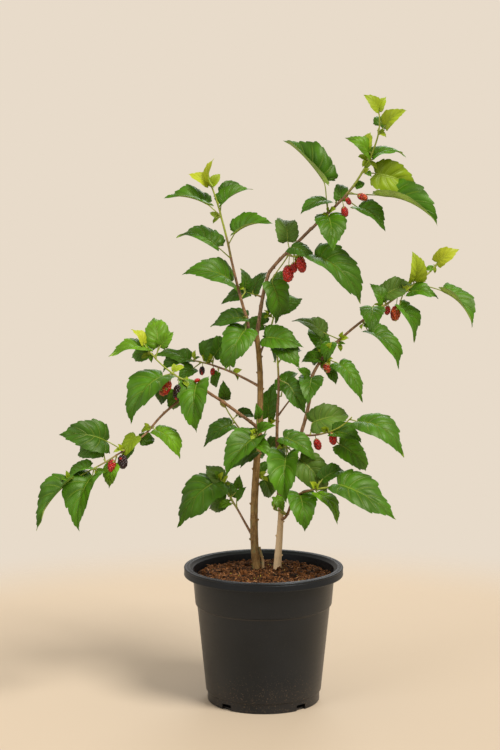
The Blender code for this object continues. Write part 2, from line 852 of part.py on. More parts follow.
def keep_largest_body(mesh):
    """Drops loose scraps, and fills a hollow that fusing has sealed."""
    shape = bmesh.new()
    shape.from_mesh(mesh)
    bodies = []
    left = set(shape.verts)
    while left:
        body = {left.pop()}
        edge = list(body)
        while edge:
            near = {link.other_vert(vertex) for vertex in edge for link in vertex.link_edges}
            edge = list(near - body)
            body |= near
        left -= body
        bodies.append(body)
    bodies.sort(key=len)
    for body in bodies[:-1]:
        bmesh.ops.delete(shape, geom=list(body), context="VERTS")
    shape.to_mesh(mesh)
    shape.free()


def join(item, meshes):
    """Fuses the pieces to the object with one Boolean union on a collection."""
    loose = collection(item.name + "_pieces")
    for number, mesh in enumerate(meshes):
        add_object(f"{item.name}_piece_{number}", mesh, loose, None)
    union = item.modifiers.new("Joined", "BOOLEAN")
    union.operation = "UNION"
    union.operand_type = "COLLECTION"
    union.collection = loose
    joined = evaluated_mesh(item)
    keep_largest_body(joined)
    item.modifiers.clear()
    item.data = joined
    for piece in list(loose.objects):
        bpy.data.objects.remove(piece)
    bpy.data.collections.remove(loose)


def grow(mass, item, route, others, surface):
    """Grows leaves, fruit and spurs on a mass's twig, and fuses them to it."""
    foliage = Foliage(mass.twig.name, others)
    points = limb_points(route, TWIG_STEP)
    for number, leaf in enumerate(mass.leaves):
        foliage.add_leaf(leaf, place_on(points, leaf.at), f"leaf {number + 1}")
    for fruit in mass.fruit:
        foliage.add_fruit(fruit, place_on(points, fruit.at))
    for number in range(mass.spurs):
        foliage.add_spur(points, number, mass.spurs)
    join(item, foliage.pieces)
    item.data.materials.clear()
    item.data.materials.append(surface)
    return foliage


def main():
    clear_scene()
    group = collection("potted_white_mulberry")
    cutters = collection("cutters")
    plastic = material("pot plastic", POT_BLACK, 0.45)
    earth = material("soil", SOIL_BROWN, 0.95)
    bark = material("bark", BARK, 0.8)
    young_bark = material("young bark", YOUNG_BARK, 0.6)
    leaf_surface = material("leaf", LEAF_GREEN, 0.5)

    standing, routes, limbs = [], {}, {}
    for limb in LIMBS:
        limbs[limb.name] = limb
        routes[limb.name] = limb_route(limb, routes, limbs)
        stem = len(limb.start) == 3
        mesh = limb_mesh(limb, routes[limb.name], LIMB_STEP, 2 if stem else 1)
        add_object(limb.name, mesh, group, bark if stem else young_bark)
        standing.append(tree_of(mesh))

    twigs, trees = {}, {}
    for mass in MASSES:
        twig = mass.twig
        limbs[twig.name] = twig
        routes[twig.name] = limb_route(twig, routes, limbs)
        mesh = limb_mesh(twig, routes[twig.name], TWIG_STEP, 0)
        twigs[twig.name] = add_object(twig.name, mesh, group, leaf_surface)
        trees[twig.name] = tree_of(mesh)

    grown = {}
    for mass in MASSES:
        name = mass.twig.name
        others = standing + [tree for other, tree in trees.items() if other != name]
        grown[name] = grow(mass, twigs[name], routes[name], others, leaf_surface)
        trees[name] = tree_of(twigs[name].data)
    make_soil(group, earth)
    make_pot(group, cutters, plastic)
    return grown


if __name__ == "__main__":
    main()
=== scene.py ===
import json
import math
import random
from collections import namedtuple
from functools import cache

import bmesh
import bpy
import numpy as np
from bpy.props import FloatProperty, FloatVectorProperty, IntProperty, PointerProperty
from mathutils import Matrix, Vector, noise
from mathutils.bvhtree import BVHTree

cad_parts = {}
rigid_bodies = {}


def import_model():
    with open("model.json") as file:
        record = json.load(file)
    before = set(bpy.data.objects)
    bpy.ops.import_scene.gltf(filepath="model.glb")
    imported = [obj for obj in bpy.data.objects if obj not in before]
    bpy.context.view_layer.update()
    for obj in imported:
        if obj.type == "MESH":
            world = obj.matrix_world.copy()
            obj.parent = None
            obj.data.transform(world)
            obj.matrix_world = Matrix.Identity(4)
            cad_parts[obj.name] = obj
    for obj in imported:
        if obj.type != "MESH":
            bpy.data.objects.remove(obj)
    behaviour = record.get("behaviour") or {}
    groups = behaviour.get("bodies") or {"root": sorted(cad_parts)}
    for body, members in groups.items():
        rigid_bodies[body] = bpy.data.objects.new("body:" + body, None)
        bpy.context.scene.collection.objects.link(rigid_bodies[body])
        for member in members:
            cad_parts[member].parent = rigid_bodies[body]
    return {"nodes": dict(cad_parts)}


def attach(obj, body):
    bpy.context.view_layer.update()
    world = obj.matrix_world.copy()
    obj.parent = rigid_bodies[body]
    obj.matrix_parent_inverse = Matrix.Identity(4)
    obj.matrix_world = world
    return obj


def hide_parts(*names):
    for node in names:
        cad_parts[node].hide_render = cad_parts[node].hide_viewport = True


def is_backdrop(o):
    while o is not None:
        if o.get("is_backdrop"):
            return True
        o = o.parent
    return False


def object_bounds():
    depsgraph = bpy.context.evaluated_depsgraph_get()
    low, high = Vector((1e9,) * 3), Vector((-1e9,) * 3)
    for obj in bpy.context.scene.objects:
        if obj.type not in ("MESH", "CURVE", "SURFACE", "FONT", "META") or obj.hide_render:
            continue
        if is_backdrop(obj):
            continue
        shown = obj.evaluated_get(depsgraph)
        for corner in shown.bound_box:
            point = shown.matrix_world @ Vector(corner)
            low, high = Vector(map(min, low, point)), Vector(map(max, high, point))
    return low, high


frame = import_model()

bl_info = {
    "name": "Potted white mulberry",
    "version": (1, 0, 0),
    "blender": (4, 5, 0),
    "location": "3D View > Sidebar > Mulberry",
    "description": "Grows bark, leaves, fruit and soil on a young potted mulberry",
    "category": "Object",
}

CAD_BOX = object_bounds()
MM = 0.001

# The limbs, leaves and fruit are worked out as the solids are, in millimetres and degrees
LEAF_LOBE = 0.09
LEAF_FOLD = 25
LEAF_CURL = 74
LEAF_WIDTH = 0.64
STALK_LIFT = 35
STALK_TOWARD = 0.5
GAP = 0.3 * MM
TWIG_STEP = 26 * MM
SPUR_LENGTH = (10, 20)
SPUR_LEAF = (28, 46)
SPUR_SPREAD = 55
SPROUT_SHARE = 0.5
SPROUT_LEAF = (8, 15)
CUPPED = math.radians(101)
FLOOR_REACH = 1.2
SAME_PLACE = 2.5 * MM
YOUNG = 0.7
FLARE = 0.05
FLARE_LENGTH = 14 * MM

# A limb starts on the ground or at a share of its parent's length, leaves towards the
# point out, and reaches its tip by way of the point into. Two limbs on one tip stand aside.
Limb = namedtuple("Limb", "name start out into tip radii aside", defaults=(0,))

# A leaf grows at a share of its twig's length. Seen from the front, its blade points at
# the angle clock (0 right, 90 up), tips to the front by toward, and turns its upper face
# up by roll. Its stalk points at the angle way, or else a little higher than the blade.
Leaf = namedtuple("Leaf", "at clock toward length roll stalk way", defaults=(None,))
Fruit = namedtuple("Fruit", "at clock toward stalk length")
Mass = namedtuple("Mass", "twig leaves fruit spurs")

GROUND = 200.3
LIMBS = (
    Limb("left_stem", (-10, 10, GROUND), (-26, 10, 310), (8, 18, 440), (-11, 14, 553), (5.7, 3.3)),
    Limb("right_stem", (21, 12, GROUND), (23, 12, 240), (28, 12, 280), (25, 12, 306), (5.1, 3.1)),
    Limb("foot_twig", (-1, 3, GROUND), (0, 3, 212), (-4, 4, 222), (-6, 4, 233), (1.6, 0.9)),
    Limb("upper_left_bough", ("left_stem", 0.97), (-24, 9, 554), (-22, 10, 566), (-25, 9, 578), (2.1, 1.8)),
    Limb("rising_bough", ("left_stem", 1.0), (-5, 15, 578), (-2, 16, 620), (8, 15.5, 646), (2.4, 2.1)),
    Limb(
        "upper_right_bough",
        ("rising_bough", 1.0), (18, 14, 662), (62, -3, 702), (88, -13, 731), (2.0, 1.7),
    ),
    Limb("left_bough", ("left_stem", 0.60), (-34, -2, 436), (-70, -22, 465), (-104, -40, 488), (2.0, 1.5)),
    Limb(
        "drooping_bough",
        ("left_bough", 0.93), (-112, -44, 470), (-143, -46, 452), (-163, -56, 426), (1.4, 1.2),
    ),
    Limb(
        "middle_bough",
        ("right_stem", 1.0), (22, 13, 345), (19, 11, 410), (21, 9.5, 447), (2.1, 1.7), -2.2,
    ),
    Limb("right_bough", ("right_stem", 1.0), (34, 15, 338), (78, 33, 450), (73, 40, 487), (2.5, 1.9), 2.7),
    Limb(
        "lower_right_bough",
        ("right_stem", 0.64), (38, -4, 280), (40, -14, 306), (48, -22, 316), (1.6, 1.4),
    ),
)

MASSES = (
    Mass(
        Limb(
            "upper_left_leaves",
            ("upper_left_bough", 1.0), (-46, -5, 640), (-51, -14, 705), (-76, -22, 773), (1.7, 0.9),
        ),
        (
            Leaf(1.00, 85, 10, 38, 60, 5),
            Leaf(1.00, 153, -10, 33, 40, 8, 143),
            Leaf(1.00, 50, -20, 20, 20, 5),
            Leaf(0.79, 171, 10, 65, 58, 28, 140),
            Leaf(0.82, 25, -10, 52, 52, 13, 77),
            Leaf(0.58, 14, 15, 58, 60, 21, 57),
            Leaf(0.47, 168, -20, 67, 56, 30, 141),
            Leaf(0.24, 171, 15, 76, 46, 16),
            Leaf(0.02, 242, 30, 74, 20, 22, 266),
            Leaf(0.03, 194, -15, 58, 50, 6, 262),
        ),
        (),
        2,
    ),
    Mass(
        Limb(
            "fork_leaves",
            ("rising_bough", 0.60), (-9, 24, 611), (-13, 29, 613), (-19, 33, 613), (1.1, 0.8),
        ),
        (
            Leaf(1.0, 203, -5, 44, 55, 6),
            Leaf(0.9, 54, -30, 42, 40, 3, 54),
        ),
        (),
        0,
    ),
    Mass(
        Limb(
            "inner_right_leaves",
            ("upper_right_bough", 0.42), (40, -6, 669), (46, -10, 671), (52, -14, 674), (1.3, 0.9),
        ),
        (
            Leaf(1.0, 314, 5, 98, 48, 25, -6),
            Leaf(0.1, 276, -10, 64, 40, 51, 241),
            Leaf(0.3, 96, -59, 55, 5, 26, 102),
            Leaf(0.6, -27, 25, 44, 45, 14, 104),
        ),
        (
            Fruit(0.5, 274, 10, 9, 15),
            Fruit(1.0, 281, 10, 4, 22),
            Fruit(0.15, 266, 18, 16, 25),
        ),
        1,
    ),
    Mass(
        Limb(
            "upper_right_leaves",
            ("upper_right_bough", 1.0), (132, -32, 764), (174, -52, 836), (164, -58, 880), (1.6, 0.8),
        ),
        (
            Leaf(1.00, 136, 0, 30, 28, 5),
            Leaf(1.00, 60, -15, 23, 35, 4),
            Leaf(0.80, 36, 15, 37, 30, 17, 46),
            Leaf(0.62, 72, -25, 28, 18, 12, 140),
            Leaf(0.58, 145, 10, 44, 45, 6),
            Leaf(0.58, -2, -20, 53, 74, 6),
            Leaf(0.04, 135, -32, 97, 20, 50, 99),
            Leaf(0.46, -17, -22, 70, 12, 22, -6),
            Leaf(0.26, -28, 18, 92, 48, 54, -4),
            Leaf(0.22, -42, 25, 55, 42, 28, -35),
            Leaf(0.04, 277, 45, 68, 10, 6, -83),
            Leaf(0.04, 206, 20, 46, 60, 18, 99),
            Leaf(0.18, 80, -50, 34, 10, 3),
            Leaf(0.32, 20, -35, 18, 20, 6, 20),
        ),
        (
            Fruit(0.28, 339, 15, 14, 15),
            Fruit(0.20, 282, 10, 11, 15),
            Fruit(0.24, 297, 15, 3, 12),
        ),
        2,
    ),
    Mass(
        Limb(
            "left_inner_leaves",
            ("left_stem", 0.775), (-38, 33, 491), (-72, 56, 505), (-107, 70, 508), (1.5, 0.8),
        ),
        (
            Leaf(0.80, 62, 20, 38, 42, 12, 112),
            Leaf(1.00, 206, 0, 46, 50, 6),
            Leaf(0.88, 215, 30, 34, 30, 16, 215),
            Leaf(0.45, 70, -30, 44, 35, 12),
            Leaf(0.62, 262, -25, 26, 30, 10, 262),
            Leaf(1.00, 170, 0, 54, 68, 9, 190),
        ),
        (
            Fruit(0.86, 265, 15, 6, 13),
            Fruit(0.70, 262, 15, 4, 11),
        ),
        1,
    ),
    Mass(
        Limb(
            "left_leaves",
            ("left_bough", 1.0), (-122, -50, 492), (-150, -54, 512), (-174, -56, 545), (1.3, 0.8),
        ),
        (
            Leaf(0.78, 102, -42, 54, 12, 20, 80),
            Leaf(1.00, 132, -10, 28, 58, 3, 132),
            Leaf(0.90, 189, 15, 58, 62, 5),
            Leaf(0.45, 236, 20, 86, 42, 17, 198),
            Leaf(0.04, 270, 24, 75, 14, 9, -21),
            Leaf(0.25, 262, -40, 44, -20, 22, 240),
            Leaf(0.45, 250, -30, 36, 40, 24, 250),
            Leaf(0.80, 46, -15, 27, 20, 20, 62),
        ),
        (
            Fruit(0.42, 238, 14, 13, 23),
            Fruit(0.32, 266, 20, 12, 22),
            Fruit(0.03, 20, 20, 5, 9),
        ),
        2,
    ),
    Mass(
        Limb(
            "drooping_leaves",
            ("drooping_bough", 1.0), (-184, -66, 400), (-240, -92, 372), (-279, -106, 354), (1.1, 0.7),
        ),
        (
            Leaf(1.00, 236, 10, 83, 42, 5, 226),
            Leaf(0.74, 257, 25, 83, 34, 14, 256),
            Leaf(0.42, 171, 10, 70, 34, 30, 151),
            Leaf(0.62, 200, -35, 49, 40, 19, 109),
            Leaf(0.76, 216, -10, 42, 60, 5, 146),
            Leaf(0.20, 240, 15, 37, 30, 8, 170),
            Leaf(0.02, 311, 10, 56, 62, 9, -31),
            Leaf(0.50, 257, 0, 37, 25, 14, 257),
        ),
        (
            Fruit(0.54, 262, 10, 4, 17),
            Fruit(0.44, 275, 15, 5, 20),
        ),
        2,
    ),
    Mass(
        Limb(
            "left_low_leaves",
            ("left_stem", 0.53), (-24, 24, 392), (-50, 48, 422), (-60, 56, 443), (1.1, 0.7),
        ),
        (
            Leaf(0.62, 217, 10, 54, 52, 8, 217),
            Leaf(1.00, 93, 10, 31, 8, 8),
        ),
        (
            Fruit(0.9, 120, 30, 5, 14),
        ),
        2,
    ),
    Mass(
        Limb(
            "front_leaves",
            ("left_stem", 0.57), (-9, 2, 402), (-10, -4, 403), (-10, -12, 405), (1.2, 0.9),
        ),
        (
            Leaf(0.9, 230, 25, 76, 42, 4, 230),
            Leaf(0.6, 224, 10, 35, 50, 24, 265),
            Leaf(1.0, 318, 30, 34, 30, 11, 262),
            Leaf(1.0, 22, 20, 28, 40, 8),
            Leaf(0.5, 95, 10, 24, 30, 28),
        ),
        (),
        0,
    ),
    Mass(
        Limb("back_leaves", ("left_stem", 0.36), (-14, 40, 340), (-10, 70, 368), (8, 88, 408), (1.4, 0.8)),
        (
            Leaf(1.0, 80, -20, 54, 30, 12),
            Leaf(0.8, 310, -45, 54, 30, 14, -50),
            Leaf(0.6, 220, -30, 52, 40, 14),
        ),
        (),
        3,
    ),
    Mass(
        Limb(
            "upper_back_leaves",
            ("left_stem", 0.9), (0, 40, 540), (16, 64, 560), (20, 84, 596), (1.3, 0.8),
        ),
        (
            Leaf(1.0, 70, -20, 44, 30, 12),
            Leaf(0.8, 20, -30, 46, 30, 14),
            Leaf(0.6, 200, -30, 44, 40, 14),
        ),
        (),
        2,
    ),
    Mass(
        Limb("middle_leaves", ("middle_bough", 1.0), (24, 9, 480), (21, 7, 515), (19, 6, 542), (1.5, 0.8)),
        (
            Leaf(1.00, 347, 15, 60, 38, 18, 153),
            Leaf(0.95, 315, 30, 50, 28, 4, -15),
            Leaf(0.40, 300, 8, 50, 15, 18, -29),
        ),
        (),
        2,
    ),
    Mass(
        Limb(
            "crossing_leaves",
            ("middle_bough", 0.86), (34, 16, 448), (50, 22, 468), (62, 24, 482), (1.0, 0.7),
        ),
        (
            Leaf(1.00, 259, 50, 56, 8, 12, 30),
            Leaf(0.95, 137, 35, 28, 40, 12, 55),
        ),
        (),
        0,
    ),
    Mass(
        Limb(
            "right_leaves",
            ("right_bough", 1.0), (105, 56, 560), (228, 82, 608), (264, 89, 653), (1.8, 0.8),
        ),
        (
            Leaf(0.27, 162, -20, 53, 54, 29, 156),
            Leaf(0.25, 255, 30, 34, 20, 11, 185),
            Leaf(0.12, 194, -30, 34, 50, 3, 188),
            Leaf(0.13, 302, 15, 68, 48, 27, -22),
            Leaf(0.12, 298, -10, 30, 40, 16, -62),
            Leaf(0.49, 263, 50, 54, 8, 12, 88),
            Leaf(0.43, 309, 10, 72, 58, 21, -60),
            Leaf(0.70, 293, 0, 61, 52, 22, 258),
            Leaf(0.58, 20, -25, 52, 26, 16, 92),
            Leaf(0.56, 125, -10, 35, 40, 8),
            Leaf(0.78, 95, 10, 46, 26, 8),
            Leaf(0.72, -13, 10, 45, 46, 7, -11),
            Leaf(0.80, 309, 15, 70, 64, 44, -18),
            Leaf(1.00, 30, 0, 38, 22, 5),
            Leaf(0.17, 62, 20, 16, 30, 4),
        ),
        (
            Fruit(0.66, 263, 12, 14, 23),
            Fruit(0.60, 262, -10, 5, 14),
            Fruit(0.13, 290, 35, 10, 16),
        ),
        2,
    ),
    Mass(
        Limb(
            "mid_right_leaves",
            ("right_bough", 0.53), (76, 8, 399), (112, -28, 412), (129, -42, 437), (1.2, 0.7),
        ),
        (
            Leaf(0.18, 8, -25, 62, 22, 20, 76),
            Leaf(0.55, -17, 20, 46, 46, 7, -16),
            Leaf(0.95, -37, 15, 85, 58, 16, -16),
            Leaf(0.52, 314, -10, 60, 30, 27, -46),
        ),
        (
            Fruit(0.28, 285, 10, 6, 17),
            Fruit(0.60, 275, 10, 3, 18),
        ),
        1,
    ),
    Mass(
        Limb(
            "lower_right_leaves",
            ("lower_right_bough", 1.0), (58, -32, 325), (84, -50, 333), (106, -60, 337), (1.2, 0.9),
        ),
        (
            Leaf(1.00, 330, 10, 98, 46, 5, 30),
            Leaf(0.55, 303, 20, 54, 55, 8, -57),
            Leaf(0.05, 278, 30, 60, 10, 3, 20),
        ),
        (),
        1,
    ),
    Mass(
        Limb(
            "centre_leaves",
            ("middle_bough", 0.62), (28, -2, 393), (31, -9, 391), (35, -15, 388), (1.2, 0.9),
        ),
        (
            Leaf(0.90, 269, 30, 74, 12, 15, 269),
            Leaf(0.60, 326, 10, 63, 50, 10, 87),
            Leaf(1.00, 308, -5, 68, 22, 28, -44),
            Leaf(0.80, 308, -30, 30, 30, 40, -70),
        ),
        (
            Fruit(0.3, 240, 20, 8, 13),
        ),
        0,
    ),
    Mass(
        Limb("foot_leaves", ("right_stem", 0.78), (18, -2, 290), (16, -6, 292), (15, -10, 294), (1.0, 0.8)),
        (
            Leaf(1.0, 300, 15, 25, 30, 18, 80),
            Leaf(0.8, 58, 10, 23, 40, 4, 58),
        ),
        (
            Fruit(0.6, 340, 10, 9, 9),
        ),
        0,
    ),
    Mass(
        Limb(
            "lower_left_leaves",
            ("left_stem", 0.13), (-32, 24, 272), (-50, 38, 306), (-68, 50, 327), (1.4, 0.9),
        ),
        (
            Leaf(1.00, 228, 15, 93, 42, 5, 219),
            Leaf(0.92, 140, -35, 38, 30, 6),
            Leaf(0.55, 205, 10, 20, 40, 8),
            Leaf(0.66, 89, 20, 24, 25, 21, 49),
            Leaf(0.48, 53, 10, 24, 50, 15),
        ),
        (),
        1,
    ),
)

# The age of each leaf, in the order above: y newest, l lime, w warm, b bright, g green,
# m mature, d dark and partly painted shade, s with a painted grey sheen. A capital stands for a leaf with its nearer
# half turned up.
LEAF_AGES = {
    "upper_left_leaves": "yylMGGMmmd",
    "fork_leaves": "dd",
    "inner_right_leaves": "mgsd",
    "upper_right_leaves": "llllbgMwMmgdmg",
    "left_inner_leaves": "dmmgmg",
    "left_leaves": "byBmggdb",
    "drooping_leaves": "Mmdggwbb",
    "left_low_leaves": "dm",
    "front_leaves": "mdggg",
    "back_leaves": "mdm",
    "upper_back_leaves": "mgm",
    "middle_leaves": "ggd",
    "crossing_leaves": "mg",
    "right_leaves": "sgggmmggsglgGyl",
    "mid_right_leaves": "smmg",
    "lower_right_leaves": "mbg",
    "centre_leaves": "gmsd",
    "foot_leaves": "bb",
    "lower_left_leaves": "msbmg",
}
SPUR_AGES = "mgd"

# The share of a twig's length at which its bark is all green
SHOOT_GREEN = {
    "upper_left_leaves": 0.65,
    "upper_right_leaves": 0.33,
    "left_inner_leaves": 1.1,
    "left_leaves": 0.25,
    "drooping_leaves": 0.7,
    "right_leaves": 0.75,
    "mid_right_leaves": 0.5,
    "lower_left_leaves": 0.6,
}

# How ripe each berry is: g still green, o turning, r red, k nearly black
FRUIT_RIPENESS = {
    "inner_right_leaves": "rrr",
    "upper_right_leaves": "orr",
    "left_inner_leaves": "kr",
    "left_leaves": "okr",
    "drooping_leaves": "rk",
    "left_low_leaves": "g",
    "right_leaves": "oro",
    "mid_right_leaves": "rr",
    "centre_leaves": "o",
    "foot_leaves": "g",
}

# The half outline of a leaf from its stalk round the lobe to the tip: out from the
# midrib, and along it, in shares of the length
OUTLINE = (
    (0.0, 0.0), (0.075, -0.052), (0.17, -0.082), (0.262, -0.045), (0.318, 0.055), (0.345, 0.175),
    (0.348, 0.305), (0.322, 0.435), (0.27, 0.555), (0.2, 0.665), (0.13, 0.76), (0.07, 0.845),
    (0.03, 0.915), (0.01, 0.965), (0.0, 1.0),
)
TOOTH = ((0.0, 0.0), (0.3, 0.55), (0.65, 0.95), (0.88, 0.8))
COLUMNS = (0.0, 0.16, 0.38, 0.62, 0.84, 1.0)
RIB_SPREAD = 2.3

# The pot's turned profile
RIM_RADIUS = 120 * MM
POT_HEIGHT = 205 * MM
RIM_WIDTH = 9.7 * MM
RIM_DROP = 13 * MM
RIM_SKIN = 2.8 * MM
RIM_ROUND = 1.7 * MM
RIM_GROOVE = 0.8 * MM
RIM_SHELF = 4.8 * MM
COLLAR_TOP_RADIUS = 107.3 * MM
COLLAR_FOOT_RADIUS = 103.0 * MM
BODY_TOP_RADIUS = 100.2 * MM
BODY_FOOT_RADIUS = 87.2 * MM
BAND_RADIUS = 84.8 * MM
STEP_HEIGHT = 147.5 * MM
BAND_HEIGHT = 15.5 * MM
STEP_SLOPE = 1.5 * MM
BASE_ROUND = 1.8 * MM
INNER_FLOOR_RADIUS = 82.2 * MM
INNER_TOP_RADIUS = 105.1 * MM
INNER_TOP_HEIGHT = 200 * MM
FLOOR = 3.0 * MM
DRAIN_WIDTH = 17 * MM
DRAIN_HEIGHT = 9 * MM
DRAIN_SPARE = 1 * MM
DRAIN_ANGLES = (41, 139, 221, 319)

# Soil: highest in the middle, where the stems stand on a level patch
SOIL_TOP = 200 * MM
SOIL_SHOULDER = 196 * MM
SOIL_EDGE = 190 * MM
SOIL_LEVEL_RADIUS = 36 * MM
SOIL_SHOULDER_RADIUS = 72 * MM


def tint(red, green, blue):
    """A colour as a painter's chart gives it, from 0 to 255, made linear."""
    shares = (value / 255 for value in (red, green, blue))
    return tuple(s / 12.92 if s <= 0.04045 else ((s + 0.055) / 1.055) ** 2.4 for s in shares)


# Node trees


class Link:
    """An output socket, which arithmetic extends with Math nodes in its own tree."""

    def __init__(self, graph, socket):
        self.graph = graph
        self.socket = socket

    def math(self, operation, *values):
        return self.graph.node("ShaderNodeMath", dict(enumerate(values)), operation=operation)

    def __add__(self, other):
        return self.math("ADD", self, other)

    def __mul__(self, other):
        return self.math("MULTIPLY", self, other)

    def __sub__(self, other):
        return self.math("SUBTRACT", self, other)

    def __rsub__(self, other):
        return self.math("SUBTRACT", other, self)

    __radd__ = __add__
    __rmul__ = __mul__

    def __abs__(self):
        return self.math("ABSOLUTE", self)

    def part(self):
        """What is left over a whole number."""
        return self.math("FRACT", self)

    def most(self, other):
        return self.math("MAXIMUM", self, other)

    def rise(self, low, high):
        """Goes smoothly from 0 at low to 1 at high."""
        sockets = {0: self, 1: low, 2: high}
        return self.graph.node("ShaderNodeMapRange", sockets, interpolation_type="SMOOTHSTEP")


class Graph:
    """A node tree, with one method that adds any node to it."""

    def __init__(self, tree):
        self.tree = tree

    def node(self, kind, sockets=None, output=0, **settings):
        """A node of a kind, with its settings and then its sockets, by name or by number."""
        made = self.tree.nodes.new(kind)
        for key, value in settings.items():
            setattr(made, key, value)
        inputs = [socket for socket in made.inputs if socket.enabled]
        names = [socket.name for socket in inputs]
        for key, value in (sockets or {}).items():
            self.feed(inputs[names.index(key) if isinstance(key, str) else key], value)
        outputs = [socket for socket in made.outputs if socket.enabled]
        if isinstance(output, str):
            output = [socket.name for socket in outputs].index(output)
        return Link(self, outputs[output])

    def feed(self, socket, value):
        if isinstance(value, Link):
            self.tree.links.new(value.socket, socket)
        else:
            socket.default_value = value


class Finish(Graph):
    """A material, whose shader takes plain values and links alike."""

    def __init__(self, name, **values):
        self.material = bpy.data.materials.new(name)
        self.material.use_nodes = True
        super().__init__(self.material.node_tree)
        self.shader = self.tree.nodes["Principled BSDF"]
        self.place = self.node("ShaderNodeTexCoord", output="Object")
        self.set(**values)

    def set(self, **values):
        for key, value in values.items():
            self.feed(self.shader.inputs[key.replace("_", " ")], value)

    def noise(self, scale, detail=4, vector=None, rough=0.55):
        sockets = {"Vector": vector or self.place, "Scale": scale, "Detail": detail, "Roughness": rough}
        return self.node("ShaderNodeTexNoise", sockets)

    def stretched(self, size):
        """Object coordinates scaled along each axis."""
        return self.node("ShaderNodeVectorMath", {0: self.place, 1: size}, operation="MULTIPLY")

    def mix(self, factor, first, second):
        ends = [(*end, 1) if isinstance(end, tuple) else end for end in (first, second)]
        sockets = {"Factor": factor, "A": ends[0], "B": ends[1]}
        return self.node("ShaderNodeMix", sockets, data_type="RGBA")

    def relief(self, height, depth, strength=1.0):
        """Feeds a height to the shader as a bump of a depth in metres."""
        sockets = {"Height": height, "Distance": depth, "Strength": strength}
        self.set(Normal=self.node("ShaderNodeBump", sockets))


class Shaper(Graph):
    """A Geometry Nodes tree with named inputs, which makes an object's mesh."""

    def __init__(self, name, **inputs):
        super().__init__(bpy.data.node_groups.new(name, "GeometryNodeTree"))
        face = self.tree.interface
        face.new_socket("Geometry", in_out="INPUT", socket_type="NodeSocketGeometry")
        face.new_socket("Geometry", in_out="OUTPUT", socket_type="NodeSocketGeometry")
        for key, kind in inputs.items():
            face.new_socket(key, in_out="INPUT", socket_type=f"NodeSocket{kind}")
        entry = self.tree.nodes.new("NodeGroupInput")
        self.given = {socket.name: Link(self, socket) for socket in entry.outputs if socket.name}

    def named(self, name, kind="FLOAT"):
        return self.node("GeometryNodeInputNamedAttribute", {"Name": name}, data_type=kind)

    def end(self, geometry, *surfaces):
        """Ends the tree: instances made real, and a material for each (material, selection)."""
        geometry = self.node("GeometryNodeSetShadeSmooth", {"Geometry": geometry})
        geometry = self.node("GeometryNodeRealizeInstances", {"Geometry": geometry})
        for surface, chosen in surfaces:
            sockets = {"Geometry": geometry, "Material": surface}
            if chosen is not None:
                sockets["Selection"] = chosen
            geometry = self.node("GeometryNodeSetMaterial", sockets)
        out = self.tree.nodes.new("NodeGroupOutput")
        self.feed(out.inputs[0], geometry)
        return self.tree


def add_object(name, mesh):
    item = bpy.data.objects.new(name, mesh)
    bpy.context.scene.collection.objects.link(item)
    return item


def made_real(item):
    """Keeps what an object's modifiers make as its plain mesh, and removes them."""
    bpy.context.view_layer.update()
    graph = bpy.context.evaluated_depsgraph_get()
    mesh = bpy.data.meshes.new_from_object(item.evaluated_get(graph), depsgraph=graph)
    item.modifiers.clear()
    item.data = mesh
    mesh.name = item.name
    return item


def shaped(name, mesh, tree, **values):
    """Runs a Geometry Nodes tree on a mesh, with its inputs set by their identifiers."""
    item = add_object(name, mesh)
    modifier = item.modifiers.new(tree.name, "NODES")
    modifier.node_group = tree
    for socket in tree.interface.items_tree:
        if socket.name in values:
            modifier[socket.identifier] = values[socket.name]
    return made_real(item)


def dress(item, slot=None, replaced=()):
    """Gives a finished piece its place in the frame."""
    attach(item, "root")
    if replaced:
        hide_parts(*replaced)


# Growth, by the same rule as the solids


def bezier(points, share):
    rest = 1 - share
    return (
        points[0] * rest**3
        + points[1] * 3 * rest**2 * share
        + points[2] * 3 * rest * share**2
        + points[3] * share**3
    )


def heading_at(points, share):
    step = 0.01
    low = min(max(share - step, 0), 1 - step)
    return (bezier(points, low + step) - bezier(points, low)).normalized()


def radius_at(limb, share):
    first, last = limb.radii
    return (first + (last - first) * share) * MM


def joint_of(limb, routes):
    parent, share = limb.start
    return bezier(routes[parent], share) + Vector((limb.aside * MM, 0, 0))


def limb_route(limb, routes, limbs):
    """The limb's four curve points, with its foot the gap clear of its parent's surface."""
    out, into, tip = (Vector(point) * MM for point in (limb.out, limb.into, limb.tip))
    if len(limb.start) == 3:
        return [Vector(limb.start) * MM, out, into, tip]
    parent, share = limb.start
    joint = joint_of(limb, routes)
    along = heading_at(routes[parent], share)
    heading = (out - joint).normalized()
    radius = limb.radii[0] * MM
    cosine = min(abs(heading.dot(along)), 0.999)
    sine = math.sqrt(1 - cosine**2)
    if share == 1.0:
        reach = (GAP + radius * sine) / cosine
    else:
        reach = (radius_at(limbs[parent], share) + GAP + radius * cosine) / sine
    return [joint + heading * reach, out, into, tip]


def limb_length(route):
    return sum((bezier(route, (i + 1) / 8) - bezier(route, i / 8)).length for i in range(8))


def place_on(route, share):
    """The place at a share of the way along the solid twig's straight pieces."""
    count = max(3, round(limb_length(route) / TWIG_STEP))
    points = [bezier(route, index / count) for index in range(count + 1)]
    whole, part = divmod(share * count, 1)
    near, far = (points[min(int(whole) + ahead, count)] for ahead in (0, 1))
    return near.lerp(far, part)


def direction(clock, toward):
    around, forward = math.radians(clock), math.radians(toward)
    flat = math.cos(forward)
    return Vector((flat * math.cos(around), -math.sin(forward), flat * math.sin(around)))


def stalk_clock(leaf):
    """The angle at which a leaf's stalk points."""
    if leaf.way is not None:
        return leaf.way
    turn = (90 - leaf.clock + 180) % 360 - 180
    return leaf.clock + math.copysign(min(abs(turn), STALK_LIFT), turn)


